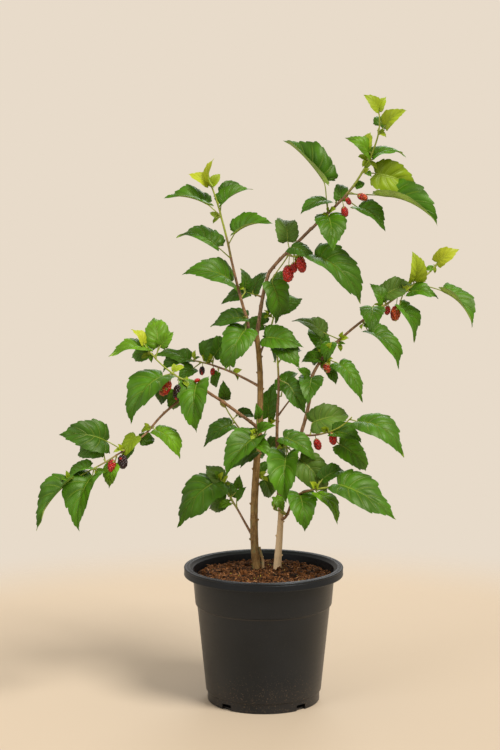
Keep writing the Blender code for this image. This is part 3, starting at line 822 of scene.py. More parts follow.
def leaf_frame(leaf, base):
    """The blade's own axes: across, along the midrib, and out of its upper face."""
    along = direction(leaf.clock, leaf.toward)
    front = Vector((0, -1, 0))
    front = (front - along * front.dot(along)).normalized()
    rise = along.cross(front)
    if rise.z < 0:
        rise = -rise
    roll = math.radians(leaf.roll)
    face = front * math.cos(roll) + rise * math.sin(roll)
    across = along.cross(face)
    turned = Matrix((across, along, face)).transposed().to_4x4()
    return Matrix.Translation(base) @ turned


# A leaf as it grows: its frame, its length, fold and curl, its stalk's foot and end
Grown = namedtuple("Grown", "frame length fold curl foot base way age cup seed")
Berry = namedtuple("Berry", "foot centre along length ripeness seed")
Growth = namedtuple("Growth", "leaves berries spurs")


def grown_leaf(leaf, foot, age, seed):
    draw = random.Random(seed).uniform
    fold = math.radians(LEAF_FOLD * draw(0.6, 1.3))
    curl = math.radians(LEAF_CURL * draw(0.6, 1.25))
    way = direction(stalk_clock(leaf), leaf.toward * STALK_TOWARD)
    base = foot + way * leaf.stalk * MM
    cup = max(CUPPED - fold - math.radians(leaf.roll), 0.0) if age.isupper() else 0.0
    return Grown(
        leaf_frame(leaf, base), leaf.length * MM, fold, curl, foot, base, way, age.lower(), cup, seed
    )


def stands(leaf, space):
    """Whether the solid mass has this leaf, which it lacks where something was in the way."""
    middle = leaf.frame @ Vector(blade_points(leaf, np.array([0.0]), np.array([0.45]))[0][0])
    return space.find_nearest(middle)[3] < SAME_PLACE


def spurs_of(mass, route, space):
    """The short side twigs that lean to the back, each with a leaf to each side of its tip."""
    for number in range(mass.spurs):
        label = f"spur {number + 1}"
        draw = random.Random(f"{mass.twig.name} {label}").uniform
        share = (number + draw(0.25, 0.75)) / mass.spurs
        foot = place_on(route, share)
        clock, toward = draw(0, 360), draw(-80, -45)
        length = draw(*SPUR_LENGTH) * MM
        tip = foot + direction(clock, toward) * length
        leaves = []
        for side, turn in enumerate((-SPUR_SPREAD, SPUR_SPREAD)):
            size = draw(*SPUR_LEAF)
            roll = draw(20, 60)
            leaf = Leaf(share, clock + turn, toward * 0.6, size, roll, size * 0.25)
            seed = f"{mass.twig.name} {label} {side}"
            grown = grown_leaf(leaf, tip, random.Random(seed).choice(SPUR_AGES), seed)
            if stands(grown, space):
                leaves.append(grown)
        if leaves:
            yield foot, tip, leaves


def sprouts_of(name, leaves):
    """Pairs of tiny new leaves beside the stalks of some full ones."""
    for leaf in leaves:
        draw = random.Random(leaf.seed + " sprout")
        if leaf.length < 30 * MM or draw.random() > SPROUT_SHARE:
            continue
        clock, toward = draw.uniform(0, 360), draw.uniform(-25, 55)
        for turn in (-38, 34):
            size = draw.uniform(*SPROUT_LEAF)
            roll = draw.uniform(10, 60)
            tiny = Leaf(0, clock + turn, toward, size, roll, draw.uniform(3, 7), clock + turn * 0.4)
            age = draw.choice("llwb")
            yield grown_leaf(tiny, leaf.foot, age, f"{leaf.seed} sprout {turn}")


def tree_of_node(name):
    mesh = frame["nodes"][name].data
    corners = [vertex.co for vertex in mesh.vertices]
    return BVHTree.FromPolygons(corners, [tuple(face.vertices) for face in mesh.polygons])


@cache
def grow():
    """Routes of all limbs, and what grows on each mass's twig."""
    routes, limbs, growth = {}, {}, {}
    for limb in [*LIMBS, *(mass.twig for mass in MASSES)]:
        limbs[limb.name] = limb
        routes[limb.name] = limb_route(limb, routes, limbs)
    for mass in MASSES:
        name = mass.twig.name
        route = routes[name]
        leaves = [
            grown_leaf(leaf, place_on(route, leaf.at), age, f"{name} leaf {number + 1}")
            for number, (leaf, age) in enumerate(zip(mass.leaves, LEAF_AGES[name]))
        ]
        berries = []
        for number, (fruit, ripeness) in enumerate(zip(mass.fruit, FRUIT_RIPENESS.get(name, ""))):
            foot = place_on(route, fruit.at)
            along = direction(fruit.clock, fruit.toward)
            centre = foot + along * (fruit.stalk + fruit.length / 2) * MM
            seed = f"{name} fruit {number + 1}"
            berries.append(Berry(foot, centre, along, fruit.length * MM, ripeness, seed))
        spurs = list(spurs_of(mass, route, tree_of_node(name)))
        for _, _, more in spurs:
            leaves += more
        leaves += list(sprouts_of(name, leaves))
        growth[name] = Growth(leaves, berries, [(foot, tip) for foot, tip, _ in spurs])
    return routes, limbs, growth


# Leaf blades


def blade_points(leaf, across, along, lift=0.0, spread=None, cup=0.0):
    """Places on a blade that is folded along its midrib and arches from base to tip.

    across and along are metres out from the midrib and shares of the length. Returns the
    places, and the way out of the upper face at each. Cup is an angle added to the fold.
    """
    fold = leaf.fold + cup
    spread = np.zeros_like(across) if spread is None else spread
    rise = leaf.curl / 2
    bend = rise - leaf.curl * along
    arch = leaf.length / (2 * math.sin(rise))
    aside = across * np.cos(fold)
    height = np.abs(across) * np.sin(fold) + lift
    aside, height = (
        aside * np.cos(spread) - height * np.sin(spread),
        aside * np.sin(spread) + height * np.cos(spread),
    )
    places = np.stack((
        aside,
        arch * (math.sin(rise) - np.sin(bend)) - height * np.sin(bend),
        arch * (np.cos(bend) - math.cos(rise)) + height * np.cos(bend),
    ), -1)
    lean = -np.sign(across) * np.sin(fold)
    faces = np.stack((lean, -np.sin(bend) * np.cos(fold), np.cos(bend) * np.cos(fold)), -1)
    return places, faces


def smooth_outline(steps):
    """Places at shares of the way along the half outline, on a smooth curve through it."""
    points = np.array(OUTLINE)
    points = np.vstack((2 * points[0] - points[1], points, 2 * points[-1] - points[-2]))
    spot = np.clip(np.array(steps) * (len(OUTLINE) - 1), 0, len(OUTLINE) - 1 - 1e-9)
    whole = spot.astype(int)
    part = (spot - whole)[:, None]
    before, near, far, after = (points[whole + ahead] for ahead in range(4))
    return 0.5 * (
        2 * near
        + (far - before) * part
        + (2 * before - 5 * near + 4 * far - after) * part**2
        + (3 * near - before - 3 * far + after) * part**3
    )


class BladePattern:
    """The grid that every leaf of one kind shares: rows run from the midrib to the margin."""

    def __init__(self, teeth, columns):
        self.steps = np.array([(tooth + at) / teeth for tooth in range(teeth) for at, _ in TOOTH])[1:]
        self.tooth = np.array([height for _ in range(teeth) for _, height in TOOTH])[1:]
        self.columns = np.array(columns)
        self.rows = len(self.steps)
        self.wide = len(columns) - 1
        self.half = self.rows * self.wide
        self.count = 2 + self.rows + 2 * self.half
        faces, upper = self.make_faces()
        self.upper = np.array(upper)
        self.kept, self.faces = np.unique(faces, return_inverse=True)
        self.faces = self.faces.reshape(-1, 3)

    def spot(self, side, row, column, under):
        """The number of a vertex: base, tip, midrib, then the two halves, then the underside."""
        if row < 0:
            return 0
        if row >= self.rows:
            return 1
        if column == 0:
            index = 2 + row
        else:
            index = 2 + self.rows + side * self.half + row * self.wide + column - 1
        if under and column < self.wide:
            return index + self.count
        return index

    def make_faces(self):
        """Triangles, cut alike above and below so that the two faces never cross."""
        faces, upper = [], []
        for under in (False, True):
            for side in (0, 1):
                for row in range(-1, self.rows):
                    for column in range(self.wide):
                        near = [(row, column), (row, column + 1), (row + 1, column + 1), (row + 1, column)]
                        corners = list(dict.fromkeys(self.spot(side, *at, under) for at in near))
                        if len(corners) < 3:
                            continue
                        for last in range(2, len(corners)):
                            face = [corners[0], corners[last - 1], corners[last]]
                            if (side == 1) != under:
                                face.reverse()
                            faces.append(face)
                            upper.append(not under)
        return faces, upper


def blade_flat(pattern, draw, tooth_size):
    """Across and along of one half's grid, with its toothed and uneven margin."""
    steps = pattern.steps
    edge = smooth_outline(steps)
    ahead = smooth_outline(np.clip(steps + 0.01, 0, 1)) - smooth_outline(np.clip(steps - 0.01, 0, 1))
    ahead /= np.linalg.norm(ahead, axis=1)[:, None]
    outward = np.stack((ahead[:, 1], -ahead[:, 0]), -1)
    wave = 0.012 * np.sin(math.tau * (steps * draw(2.2, 3.6) + draw(0, 1)))
    fade = np.clip(steps / 0.1, 0, 1) * np.clip((1 - steps) / 0.3, 0, 1) ** 1.5
    edge = edge + outward * (wave * fade)[:, None]
    uneven = 0.75 + 0.45 * np.sin(steps * draw(30, 50) + draw(0, 6))
    teeth = tooth_size * pattern.tooth * fade * uneven
    toothed = edge + (outward * 0.9 + ahead * 0.45) * teeth[:, None]
    rib = np.stack((np.zeros_like(steps), steps**RIB_SPREAD), -1)
    column = pattern.columns[None, :, None]
    grid = rib[:, None] * (1 - column) + edge[:, None] * column
    grid[:, -1] = toothed
    grid[:, :, 1] -= 0.11 * (column * (1 - column))[:, :, 0]
    return grid * np.array([draw(0.94, 1.07), 1])


def blade_shape(leaf, pattern, settings):
    """One leaf's vertices, with each one's place on the flat leaf and on its veins."""
    draw = random.Random(leaf.seed + " margin").uniform
    veins = settings.veins
    twist = math.radians(draw(-16, 16))
    droop = draw(-0.01, 0.12)
    steps, columns = pattern.steps, pattern.columns
    count = pattern.count
    flat = np.zeros((count, 2))
    lift = np.zeros(count)
    cup = np.zeros(count)
    near = 1 if leaf.frame[1][0] < 0 else 0
    vein = np.zeros((count, 2))
    flat[1] = (0, 1)
    vein[1] = (1, 0)
    flat[2 : 2 + pattern.rows, 1] = steps**RIB_SPREAD
    vein[2 : 2 + pattern.rows, 0] = steps
    inside = columns[None, 1:]
    for side in (0, 1):
        grid = blade_flat(pattern, draw, settings.tooth)[:, 1:]
        first = 2 + pattern.rows + side * pattern.half
        part = slice(first, first + pattern.half)
        across = grid.reshape(-1, 2) * np.array([1 if side else -1, 1])
        flat[part] = across
        vein[part, 0] = np.repeat(steps, pattern.wide)
        vein[part, 1] = np.tile(columns[1:], pattern.rows)
        crest = np.abs(np.cos(math.pi * veins * steps))[:, None] ** 0.7
        wide = np.clip(grid[:, -1:, 0] / 0.25, 0, 1)
        pucker = 0.036 * crest * np.sin(math.pi * inside) ** 0.7 * wide
        frill = draw(0.016, 0.042) * np.sin(math.tau * (steps * draw(1.6, 3.2) + draw(0, 1)))[:, None]
        frill = frill * inside**2 * np.sin(math.pi * steps)[:, None]
        sag = -droop * inside**2 * np.sin(math.pi * steps)[:, None]
        lift[part] = (pucker + frill + sag).reshape(-1) + draw(-0.14, 0.14) * np.abs(across[:, 0])
        if side == near:
            cup[part] = leaf.cup
    tip = np.clip((flat[:, 1] - 0.82) / 0.18, 0, 1)
    lift -= draw(0.0, 0.05) * tip**2
    turn = twist * (flat[:, 1] - 0.2)
    across, lift = flat[:, 0] * leaf.length, lift * leaf.length
    places, faces = blade_points(leaf, across, flat[:, 1], lift, turn, cup)
    thick = np.full(count, settings.thickness / 2)
    for side in (0, 1):
        first = 2 + pattern.rows + side * pattern.half
        thick[first + pattern.wide - 1 : first + pattern.half : pattern.wide] = 0
    thick[:2] = 0
    faces = faces * thick[:, None]
    places = np.vstack((places + faces, places - faces))
    turned = np.array(leaf.frame)
    places = places @ turned[:3, :3].T + turned[:3, 3]
    whole = (places, np.vstack((flat, flat)), np.vstack((vein, vein)), np.tile(thick, 2) == 0)
    return [values[pattern.kept] for values in whole]


def leaf_cell(number, total):
    """The corner and size of one of the equal cells of a square, for a leaf's face."""
    wide = math.ceil(math.sqrt(total * 1.6))
    tall = math.ceil(total / wide)
    return (number % wide) / wide, (number // wide) / tall, 1 / wide, 1 / tall


def leaves_mesh(name, leaves, patterns, settings, surfaces):
    """All leaves of one mass as thin closed blades, each face of a leaf in its own cell."""
    places, faces, slots, bake, veins, margins, used = [], [], [], [], [], [], []
    start = 0
    for number, leaf in enumerate(leaves):
        pattern = next(pattern for least, pattern in patterns if leaf.length >= least)
        shape, flat, vein, margin = blade_shape(leaf, pattern, settings)
        places.append(shape)
        margins.append(margin)
        pair = surfaces[leaf.age]
        used += [surface for surface in pair if surface not in used]
        centred = (flat + np.array([0.37, 0.12])) / np.array([0.74, 1.16])
        cells = [leaf_cell(2 * number + under, 2 * len(leaves)) for under in (0, 1)]
        for corners, surface, cell in zip((pattern.faces[pattern.upper], pattern.faces[~pattern.upper]), pair, cells):
            left, low, wide, tall = cell
            faces.append(corners + start)
            slots += [used.index(surface)] * len(corners)
            bake.append(centred[corners].reshape(-1, 2) * (wide * 0.96, tall * 0.96) + (left, low))
            veins.append(vein[corners].reshape(-1, 2))
        start += len(shape)
    mesh = bpy.data.meshes.new(name)
    mesh.from_pydata(np.vstack(places).tolist(), [], np.vstack(faces).tolist())
    for title, values in (("OFBake", bake), ("Vein", veins)):
        layer = mesh.uv_layers.new(name=title)
        layer.uv.foreach_set("vector", np.vstack(values).astype(np.float32).ravel())
    for surface in used:
        mesh.materials.append(surface)
    mesh.polygons.foreach_set("material_index", slots)
    mesh.shade_smooth()
    ends = np.zeros(2 * len(mesh.edges), int)
    mesh.edges.foreach_get("vertices", ends)
    margins = np.concatenate(margins)
    sharp = mesh.attributes.new("sharp_edge", "BOOLEAN", "EDGE")
    sharp.data.foreach_set("value", margins[ends.reshape(-1, 2)].all(1))
    return mesh


# Strands: stems, boughs, twigs and stalks, each a row of places with a thickness


Strand = namedtuple("Strand", "points radii youth")


def is_stem(limb):
    return len(limb.start) == 3


def knots_of(name, length, shortest, longest):
    """Distances along a limb at which its buds stood."""
    draw = random.Random(name + " knots").uniform
    at, found = draw(shortest, longest) * 0.6, []
    while at < length - shortest * 0.3:
        found.append(at)
        at += draw(shortest, longest)
    return found


def limb_strand(limb, routes, step, knots, sway, youth, bark):
    """A limb from its parent's middle to its tip, swollen and turned a little at its knots."""
    route = routes[limb.name]
    length = limb_length(route)
    count = max(6, round(length / step))
    stem = is_stem(limb)
    swell = 0.05 if stem else 0.13
    points, radii, age = [], [], []
    if not stem:
        joint = joint_of(limb, routes)
        points += [joint, joint.lerp(route[0], 0.5)]
        radii += [radius_at(limb, 0) * 0.9] * 2
        age += [youth[0]] * 2
    for index in range(count + 1):
        share = index / count
        here = share * length
        radius = radius_at(limb, share)
        place = bezier(route, share)
        if stem:
            radius *= 1 + FLARE * math.exp(-(place.z - route[0].z) / FLARE_LENGTH)
        else:
            radius *= 1 + 0.3 * math.exp(-here / (3 * MM))
        radius *= 1 + sum(swell * math.exp(-(((here - knot) / (2.2 * MM)) ** 2)) for knot in knots)
        passed = sum(knot < here for knot in knots)
        if sway and 0 < passed < len(knots):
            near, far = knots[passed - 1], knots[passed]
            part = (here - near) / (far - near)
            aside = heading_at(route, share).cross(Vector((0.2, 1, 0.1))).normalized()
            place = place + aside * sway * (part if passed % 2 else 1 - part)
        points.append(place)
        radii.append(radius)
        age.append(youth[0] + (youth[1] - youth[0]) * share)
    if stem:
        points.insert(0, points[0] - Vector((0, 0, 8 * MM)))
        radii.insert(0, radii[0] * 1.05)
        age.insert(0, age[0])
    else:
        heading = heading_at(route, 1)
        for reach, narrow in ((0.6, 0.75), (1.0, 0.3)):
            points.append(route[3] + heading * reach * radii[-1])
            radii.append(radius_at(limb, 1) * narrow)
            age.append(age[-1])
    bark = min(bark, 0.4 * limb.radii[0] * MM)
    radii = [radius + bark * max(0.3, 1 - 0.4 * young) for radius, young in zip(radii, age)]
    return Strand(points, radii, age)


def stalk_strand(leaf):
    """A leaf's stalk, and its midrib that stands out under the blade."""
    reach = (leaf.base - leaf.foot).length
    along = leaf.frame.to_3x3() @ Vector((0, 1, 0.25))
    curve = [leaf.foot, leaf.foot + leaf.way * reach * 0.5, leaf.base - along * reach * 0.2, leaf.base]
    points, radii = [], []
    for index in range(8):
        share = index / 8
        points.append(bezier(curve, share))
        radii.append((1.0 - 0.22 * share + 0.5 * math.exp(-share * reach / (1.2 * MM))) * MM)
    shares = np.linspace(0.01, 0.8, 10)
    ribs, _ = blade_points(leaf, np.zeros(10), shares, np.full(10, -0.35 * MM))
    for share, place in zip(shares, ribs):
        points.append(leaf.frame @ Vector(place))
        radii.append((0.55 - 0.5 * share) * MM * min(1, leaf.length / (50 * MM) + 0.3))
    return Strand(points, radii, [1.0] * len(points))


def strands_mesh(name, strands):
    """Rows of places joined by edges, which carry their thickness and youth."""
    places, edges, thick, youth = [], [], [], []
    for strand in strands:
        first = len(places)
        places += strand.points
        thick += strand.radii
        youth += strand.youth
        edges += [(first + step, first + step + 1) for step in range(len(strand.points) - 1)]
    mesh = bpy.data.meshes.new(name)
    mesh.from_pydata(places, edges, [])
    for title, values in (("thick", thick), ("youth", youth)):
        mesh.attributes.new(title, "FLOAT", "POINT").data.foreach_set("value", values)
    return mesh


@cache
def swept():
    """Sweeps a ring along each strand, and roughens it."""
    shaper = Shaper(
        "swept_strands",
        Sides="Int", Relief="Float", Grain="Vector", Old="Material", Middle="Material", Young="Material",
    )
    given = shaper.given
    line = shaper.node("GeometryNodeMeshToCurve", {"Mesh": given["Geometry"]})
    ring = shaper.node("GeometryNodeCurvePrimitiveCircle", {"Resolution": given["Sides"], "Radius": 1.0})
    thick = shaper.named("thick")
    sockets = {"Curve": line, "Profile Curve": ring, "Scale": thick, "Fill Caps": True}
    tube = shaper.node("GeometryNodeCurveToMesh", sockets)
    place = shaper.node("GeometryNodeInputPosition")
    spread = shaper.node("ShaderNodeVectorMath", {0: place, 1: given["Grain"]}, operation="MULTIPLY")
    rough = shaper.node("ShaderNodeTexNoise", {"Vector": spread, "Scale": 1.0, "Detail": 4.0})
    height = (rough - 0.5) * given["Relief"] * thick
    outward = shaper.node("GeometryNodeInputNormal")
    offset = shaper.node("ShaderNodeVectorMath", {0: outward, "Scale": height}, operation="SCALE")
    tube = shaper.node("GeometryNodeSetPosition", {"Geometry": tube, "Offset": offset})
    youth = shaper.named("youth")
    middle = shaper.node("ShaderNodeMath", {0: youth, 1: 0.52}, operation="GREATER_THAN")
    young = shaper.node("ShaderNodeMath", {0: youth, 1: YOUNG}, operation="GREATER_THAN")
    ends = ((given["Old"], None), (given["Middle"], middle), (given["Young"], young))
    return shaper.end(tube, *ends)


@cache
def beaded():
    """Sets a stretched bead on each point, along the point's aim."""
    shaper = Shaper("beads", Segments="Int", Rings="Int", Surface="Material")
    given = shaper.given
    sockets = {"Segments": given["Segments"], "Rings": given["Rings"], "Radius": 1.0}
    bead = shaper.node("GeometryNodeMeshUVSphere", sockets)
    aim = shaper.named("aim", "FLOAT_VECTOR")
    turn = shaper.node("FunctionNodeAlignRotationToVector", {"Vector": aim}, axis="Z")
    sockets = {
        "Points": shaper.node("GeometryNodeMeshToPoints", {"Mesh": given["Geometry"], "Radius": 0.001}),
        "Instance": bead,
        "Rotation": turn,
        "Scale": shaper.named("size", "FLOAT_VECTOR"),
    }
    return shaper.end(shaper.node("GeometryNodeInstanceOnPoints", sockets), (given["Surface"], None))


@cache
def strewn():
    """Strews lumps over the upward faces of a surface, each turned and sized at random."""
    shaper = Shaper(
        "strewn_lumps",
        Density="Float", Seed="Int", Reach="Float", Smallest="Vector", Largest="Vector", Tilt="Float", Detail="Int",
        Surface="Material",
    )
    given = shaper.given
    normal = shaper.node("GeometryNodeInputNormal")
    upward = shaper.node("ShaderNodeSeparateXYZ", {0: normal}, "Z")
    above = shaper.node("ShaderNodeMath", {0: upward, 1: 0.4}, operation="GREATER_THAN")
    place = shaper.node("GeometryNodeInputPosition")
    flat = shaper.node("ShaderNodeVectorMath", {0: place, 1: (1, 1, 0)}, operation="MULTIPLY")
    away = shaper.node("ShaderNodeVectorMath", {0: flat}, "Value", operation="LENGTH")
    within = shaper.node("ShaderNodeMath", {0: away, 1: given["Reach"]}, operation="LESS_THAN")
    above = shaper.node("GeometryNodeFieldOnDomain", {0: above * within}, domain="FACE")
    sockets = {"Mesh": given["Geometry"], "Selection": above, "Density": given["Density"], "Seed": given["Seed"]}
    points = shaper.node("GeometryNodeDistributePointsOnFaces", sockets)
    lean = given["Tilt"]
    low = shaper.node("ShaderNodeCombineXYZ", {0: lean * -1.0, 1: lean * -1.0, 2: 0.0})
    high = shaper.node("ShaderNodeCombineXYZ", {0: lean, 1: lean, 2: math.tau})
    seed = given["Seed"]
    sockets = {"Min": low, "Max": high, "Seed": seed}
    euler = shaper.node("FunctionNodeRandomValue", sockets, data_type="FLOAT_VECTOR")
    sockets = {"Min": given["Smallest"], "Max": given["Largest"], "Seed": seed + 1.0}
    size = shaper.node("FunctionNodeRandomValue", sockets, data_type="FLOAT_VECTOR")
    sockets = {"Radius": 1.0, "Subdivisions": given["Detail"]}
    lump = shaper.node("GeometryNodeMeshIcoSphere", sockets)
    sockets = {
        "Points": points,
        "Instance": lump,
        "Rotation": shaper.node("FunctionNodeEulerToRotation", {"Euler": euler}),
        "Scale": size,
    }
    lumps = shaper.node("GeometryNodeInstanceOnPoints", sockets)
    lumps = shaper.node("GeometryNodeRealizeInstances", {"Geometry": lumps})
    rough = shaper.node("ShaderNodeTexNoise", {"Vector": place, "Scale": 420.0, "Detail": 2.0}, "Color")
    shift = shaper.node("ShaderNodeVectorMath", {0: rough, 1: (0.5, 0.5, 0.5)}, operation="SUBTRACT")
    shift = shaper.node("ShaderNodeVectorMath", {0: shift, "Scale": 0.0016}, operation="SCALE")
    lumps = shaper.node("GeometryNodeSetPosition", {"Geometry": lumps, "Offset": shift})
    return shaper.end(lumps, (given["Surface"], None))


def beads_mesh(name, beads):
    """Points with an aim and a size, given as (place, aim, size)."""
    mesh = bpy.data.meshes.new(name)
    mesh.from_pydata([place for place, _, _ in beads], [], [])
    for title, index in (("aim", 1), ("size", 2)):
        values = np.array([tuple(bead[index]) for bead in beads], np.float32)
        mesh.attributes.new(title, "FLOAT_VECTOR", "POINT").data.foreach_set("vector", values.ravel())
    return mesh


# Surfaces


def leaf_surface(name, colour, rib_colour, gloss, depth, spread, under=False):
    """A leaf's upper or lower face, with its veins sunk above or standing out below, and painted shade and highlight
    on the pucker between them.
    """
    finish = Finish(name, Roughness=gloss, Specular_IOR_Level=0.36, Specular_Tint=(0.95, 1.0, 0.7, 1))
    place = finish.node("ShaderNodeUVMap", uv_map="Vein")
    along = finish.node("ShaderNodeSeparateXYZ", {0: place}, "X")
    out = finish.node("ShaderNodeSeparateXYZ", {0: place}, "Y")
    leaves = bpy.context.scene.mulberry_leaves
    apart = abs((along * float(leaves.veins)).part() - 0.5)
    vein = (1 - (apart + out * 0.05).rise(0.02, 0.13)) * (1 - out.rise(0.7, 0.95))
    rib = 1 - out.rise(0.015, 0.07)
    lines = (vein * 0.55).most(rib)
    drift = finish.noise(28, 1)
    mottle = finish.noise(190, 2)
    dark = tuple(part * (1 - spread) for part in colour)
    light = tuple(min(part * (1 + spread), 1) for part in colour)
    # The apart term is painted shade and highlight: the blade is painted lighter on the crests between the side veins
    # and darker beside them, on top of the random drift and mottle.
    tone = finish.mix((drift * 0.75 + mottle * 0.15 + apart * 0.25).rise(0.36, 0.76), dark, light)
    strength = 0.85 if under else 0.8
    finish.set(Base_Color=finish.mix(lines * strength, tone, rib_colour))
    finish.set(Roughness=mottle * 0.12 + (gloss - 0.06))
    sockets = {"Vector": finish.place, "Scale": 300.0}
    mesh_of_veins = finish.node("ShaderNodeTexVoronoi", sockets, "Distance", feature="DISTANCE_TO_EDGE")
    height = lines * (0.9 if under else -0.9) + mesh_of_veins.rise(0, 0.25) * 0.06 + apart * 0.8 + drift * 2.5
    finish.relief(height, depth, 1.0)
    return finish.material


def bark_surface(name, first, second, fleck, gloss, grain, depth):
    """Bark: two tones drawn out along the grain, with paler flecks."""
    finish = Finish(name, Roughness=gloss)
    drawn = finish.noise(1, 6, finish.stretched(grain), 0.62)
    broad = finish.noise(60, 3)
    flecks = finish.noise(900, 2)
    tone = finish.mix((drawn * 0.7 + broad * 0.3).rise(0.34, 0.66), first, second)
    finish.set(Base_Color=finish.mix(flecks.rise(0.6, 0.72) * 0.6, tone, fleck))
    finish.set(Roughness=drawn * 0.3 + (gloss - 0.15))
    finish.relief(drawn + flecks * 0.4, depth, 0.9)
    return finish.material


def stem_surface(name, colours):
    """Old bark, greener low on the left stem and paler at the right stem's foot."""
    first, second, fleck, moss, pale = colours
    finish = Finish(name, Roughness=0.8)
    drawn = finish.noise(1, 6, finish.stretched((420, 420, 90)), 0.65)
    rings = finish.noise(1, 3, finish.stretched((60, 60, 700)), 0.5)
    patch = finish.noise(75, 4)
    tone = finish.mix((drawn * 0.65 + patch * 0.35).rise(0.36, 0.64), first, second)
    aside = finish.node("ShaderNodeSeparateXYZ", {0: finish.place}, "X")
    height = finish.node("ShaderNodeSeparateXYZ", {0: finish.place}, "Z")
    low = 1 - height.rise(0.22, 0.33)
    left = 1 - aside.rise(-0.004, 0.006)
    tone = finish.mix(low * left * patch.rise(0.46, 0.58) * 0.7, tone, moss)
    tone = finish.mix((1 - left) * low * drawn.rise(0.12, 0.44), tone, pale)
    finish.set(Base_Color=finish.mix(rings.rise(0.66, 0.76) * 0.3, tone, fleck))
    finish.set(Roughness=drawn * 0.25 + 0.65)
    finish.relief(drawn + rings * 0.2, 0.6 * MM, 1.0)
    return finish.material


def plain_surface(name, colour, gloss, grain, spread=0.25, depth=0.15 * MM):
    """A small part's surface: one colour that drifts a little, with a fine relief."""
    finish = Finish(name, Roughness=gloss)
    drift = finish.noise(grain, 4)
    dark = tuple(part * (1 - spread) for part in colour)
    light = tuple(min(part * (1 + spread), 1) for part in colour)
    finish.set(Base_Color=finish.mix(drift.rise(0.35, 0.65), dark, light))
    finish.relief(drift, depth, 0.7)
    return finish.material


def berry_surface(name, colour, gloss):
    """Juicy drupelets: a deep colour that varies from one to the next, under a clear skin."""
    finish = Finish(name, Roughness=gloss, Coat_Weight=0.2, Coat_Roughness=0.15)
    drift = finish.noise(330, 2)
    dark = tuple(part * 0.55 for part in colour)
    light = tuple(min(part * 1.35, 1) for part in colour)
    finish.set(Base_Color=finish.mix(drift.rise(0.35, 0.65), dark, light))
    finish.relief(finish.noise(1500, 2), 0.08 * MM, 0.4)
    return finish.material


def pot_surface(pot):
    """Satin black plastic: a moulding line under the collar, dust and scuffs near the floor."""
    finish = Finish("pot plastic", Specular_IOR_Level=0.4, Specular_Tint=(0.84, 0.92, 1.0, 1))
    height = finish.node("ShaderNodeSeparateXYZ", {0: finish.place}, "Z")
    cloud = finish.noise(14, 4)
    grain = finish.noise(1400, 3)
    streak = finish.noise(1, 4, finish.stretched((30, 30, 420)))
    base = finish.mix(cloud.rise(0.3, 0.7), tuple(pot.plastic), tuple(pot.plastic_light))
    low = 1 - height.rise(0.008, 0.075)
    speck = finish.noise(620, 2).rise(0.62, 0.7)
    haze = (cloud * low).rise(0.15, 0.75)
    base = finish.mix(speck * (low * 0.8 + 0.06), base, tuple(pot.dust))
    base = finish.mix(haze * 0.05, base, tuple(pot.dust))
    line = 1 - abs(height - (STEP_HEIGHT - STEP_SLOPE - 0.4 * MM)).rise(0.1 * MM, 0.8 * MM)
    base = finish.mix(line * cloud.rise(0.35, 0.6) * 0.15, base, tuple(pot.dust))
    finish.set(Base_Color=base)
    finish.set(Roughness=cloud * 0.12 + streak * 0.1 + speck * low * 0.3 + 0.26)
    finish.relief(grain * 0.6 + streak * 0.5, 0.12 * MM, 0.5)
    return finish.material


def soil_surface(name, first, second, depth=0.8 * MM):
    finish = Finish(name, Roughness=0.95, Specular_IOR_Level=0.2)
    crumbs = finish.noise(320, 5)
    broad = finish.noise(70, 3)
    finish.set(Base_Color=finish.mix((crumbs * 0.6 + broad * 0.4).rise(0.4, 0.66), first, second))
    finish.set(Roughness=crumbs * 0.2 + 0.78)
    finish.relief(crumbs, depth, 1.0)
    return finish.material


# Sizes and colours


def colour(name, description, red, green, blue):
    return FloatVectorProperty(
        name=name, description=description, subtype="COLOR", min=0, max=1, default=tint(red, green, blue)
    )


class MULBERRY_PG_pot(bpy.types.PropertyGroup):
    """Sizes and colours of the pot"""

    sides: IntProperty(name="Sides", description="Steps round the turned pot", default=144, min=24)
    plastic: colour("Plastic", "Darker tone of the plastic", 14, 16, 19)
    plastic_light: colour("Plastic, light", "Lighter tone of the plastic", 22, 24, 28)
    dust: colour("Dust", "Dust near the floor and in the step", 128, 108, 86)


class MULBERRY_PG_soil(bpy.types.PropertyGroup):
    """Sizes and colours of the soil"""

    lump: FloatProperty(name="Lumps", description="Height of the soil's lumps", default=8.0 * MM, unit="LENGTH")
    # The dark tone is partly painted shade: it is darker than the soil itself, to stand for the shade in the hollows,
    # though noise lays it down at random and not in the hollows.
    dark: colour("Dark", "Damp soil in the hollows", 26, 14, 5)
    brown: colour("Brown", "Soil on the lumps", 124, 77, 38)
    fibre: colour("Fibre", "Dry coir fibres and chips", 172, 120, 76)
    moss: colour("Specks", "Green specks on the soil", 186, 180, 48)


class MULBERRY_PG_bark(bpy.types.PropertyGroup):
    """Sizes and colours of stems, boughs and twigs"""

    relief: FloatProperty(name="Relief", description="Bark relief as a share of the radius", default=0.34)
    cover: FloatProperty(
        name="Thickness", description="How far bark stands out from the wood", default=0.6 * MM, unit="LENGTH"
    )
    old: colour("Old bark", "Main tone of the stems", 112, 82, 40)
    old_light: colour("Old bark, light", "Lighter tone of the stems", 170, 134, 80)
    moss: colour("Moss", "Green tinge low on the left stem", 108, 122, 80)
    pale: colour("Pale bark", "Bark at the right stem's foot", 255, 222, 176)
    young: colour("Young bark", "Darker tone of the boughs", 104, 72, 48)
    young_light: colour("Young bark, light", "Lighter tone of the boughs", 164, 122, 86)
    olive: colour("Olive bark", "Twigs half way to their tips", 156, 142, 78)
    green: colour("Green shoot", "Twigs near their tips", 166, 176, 66)


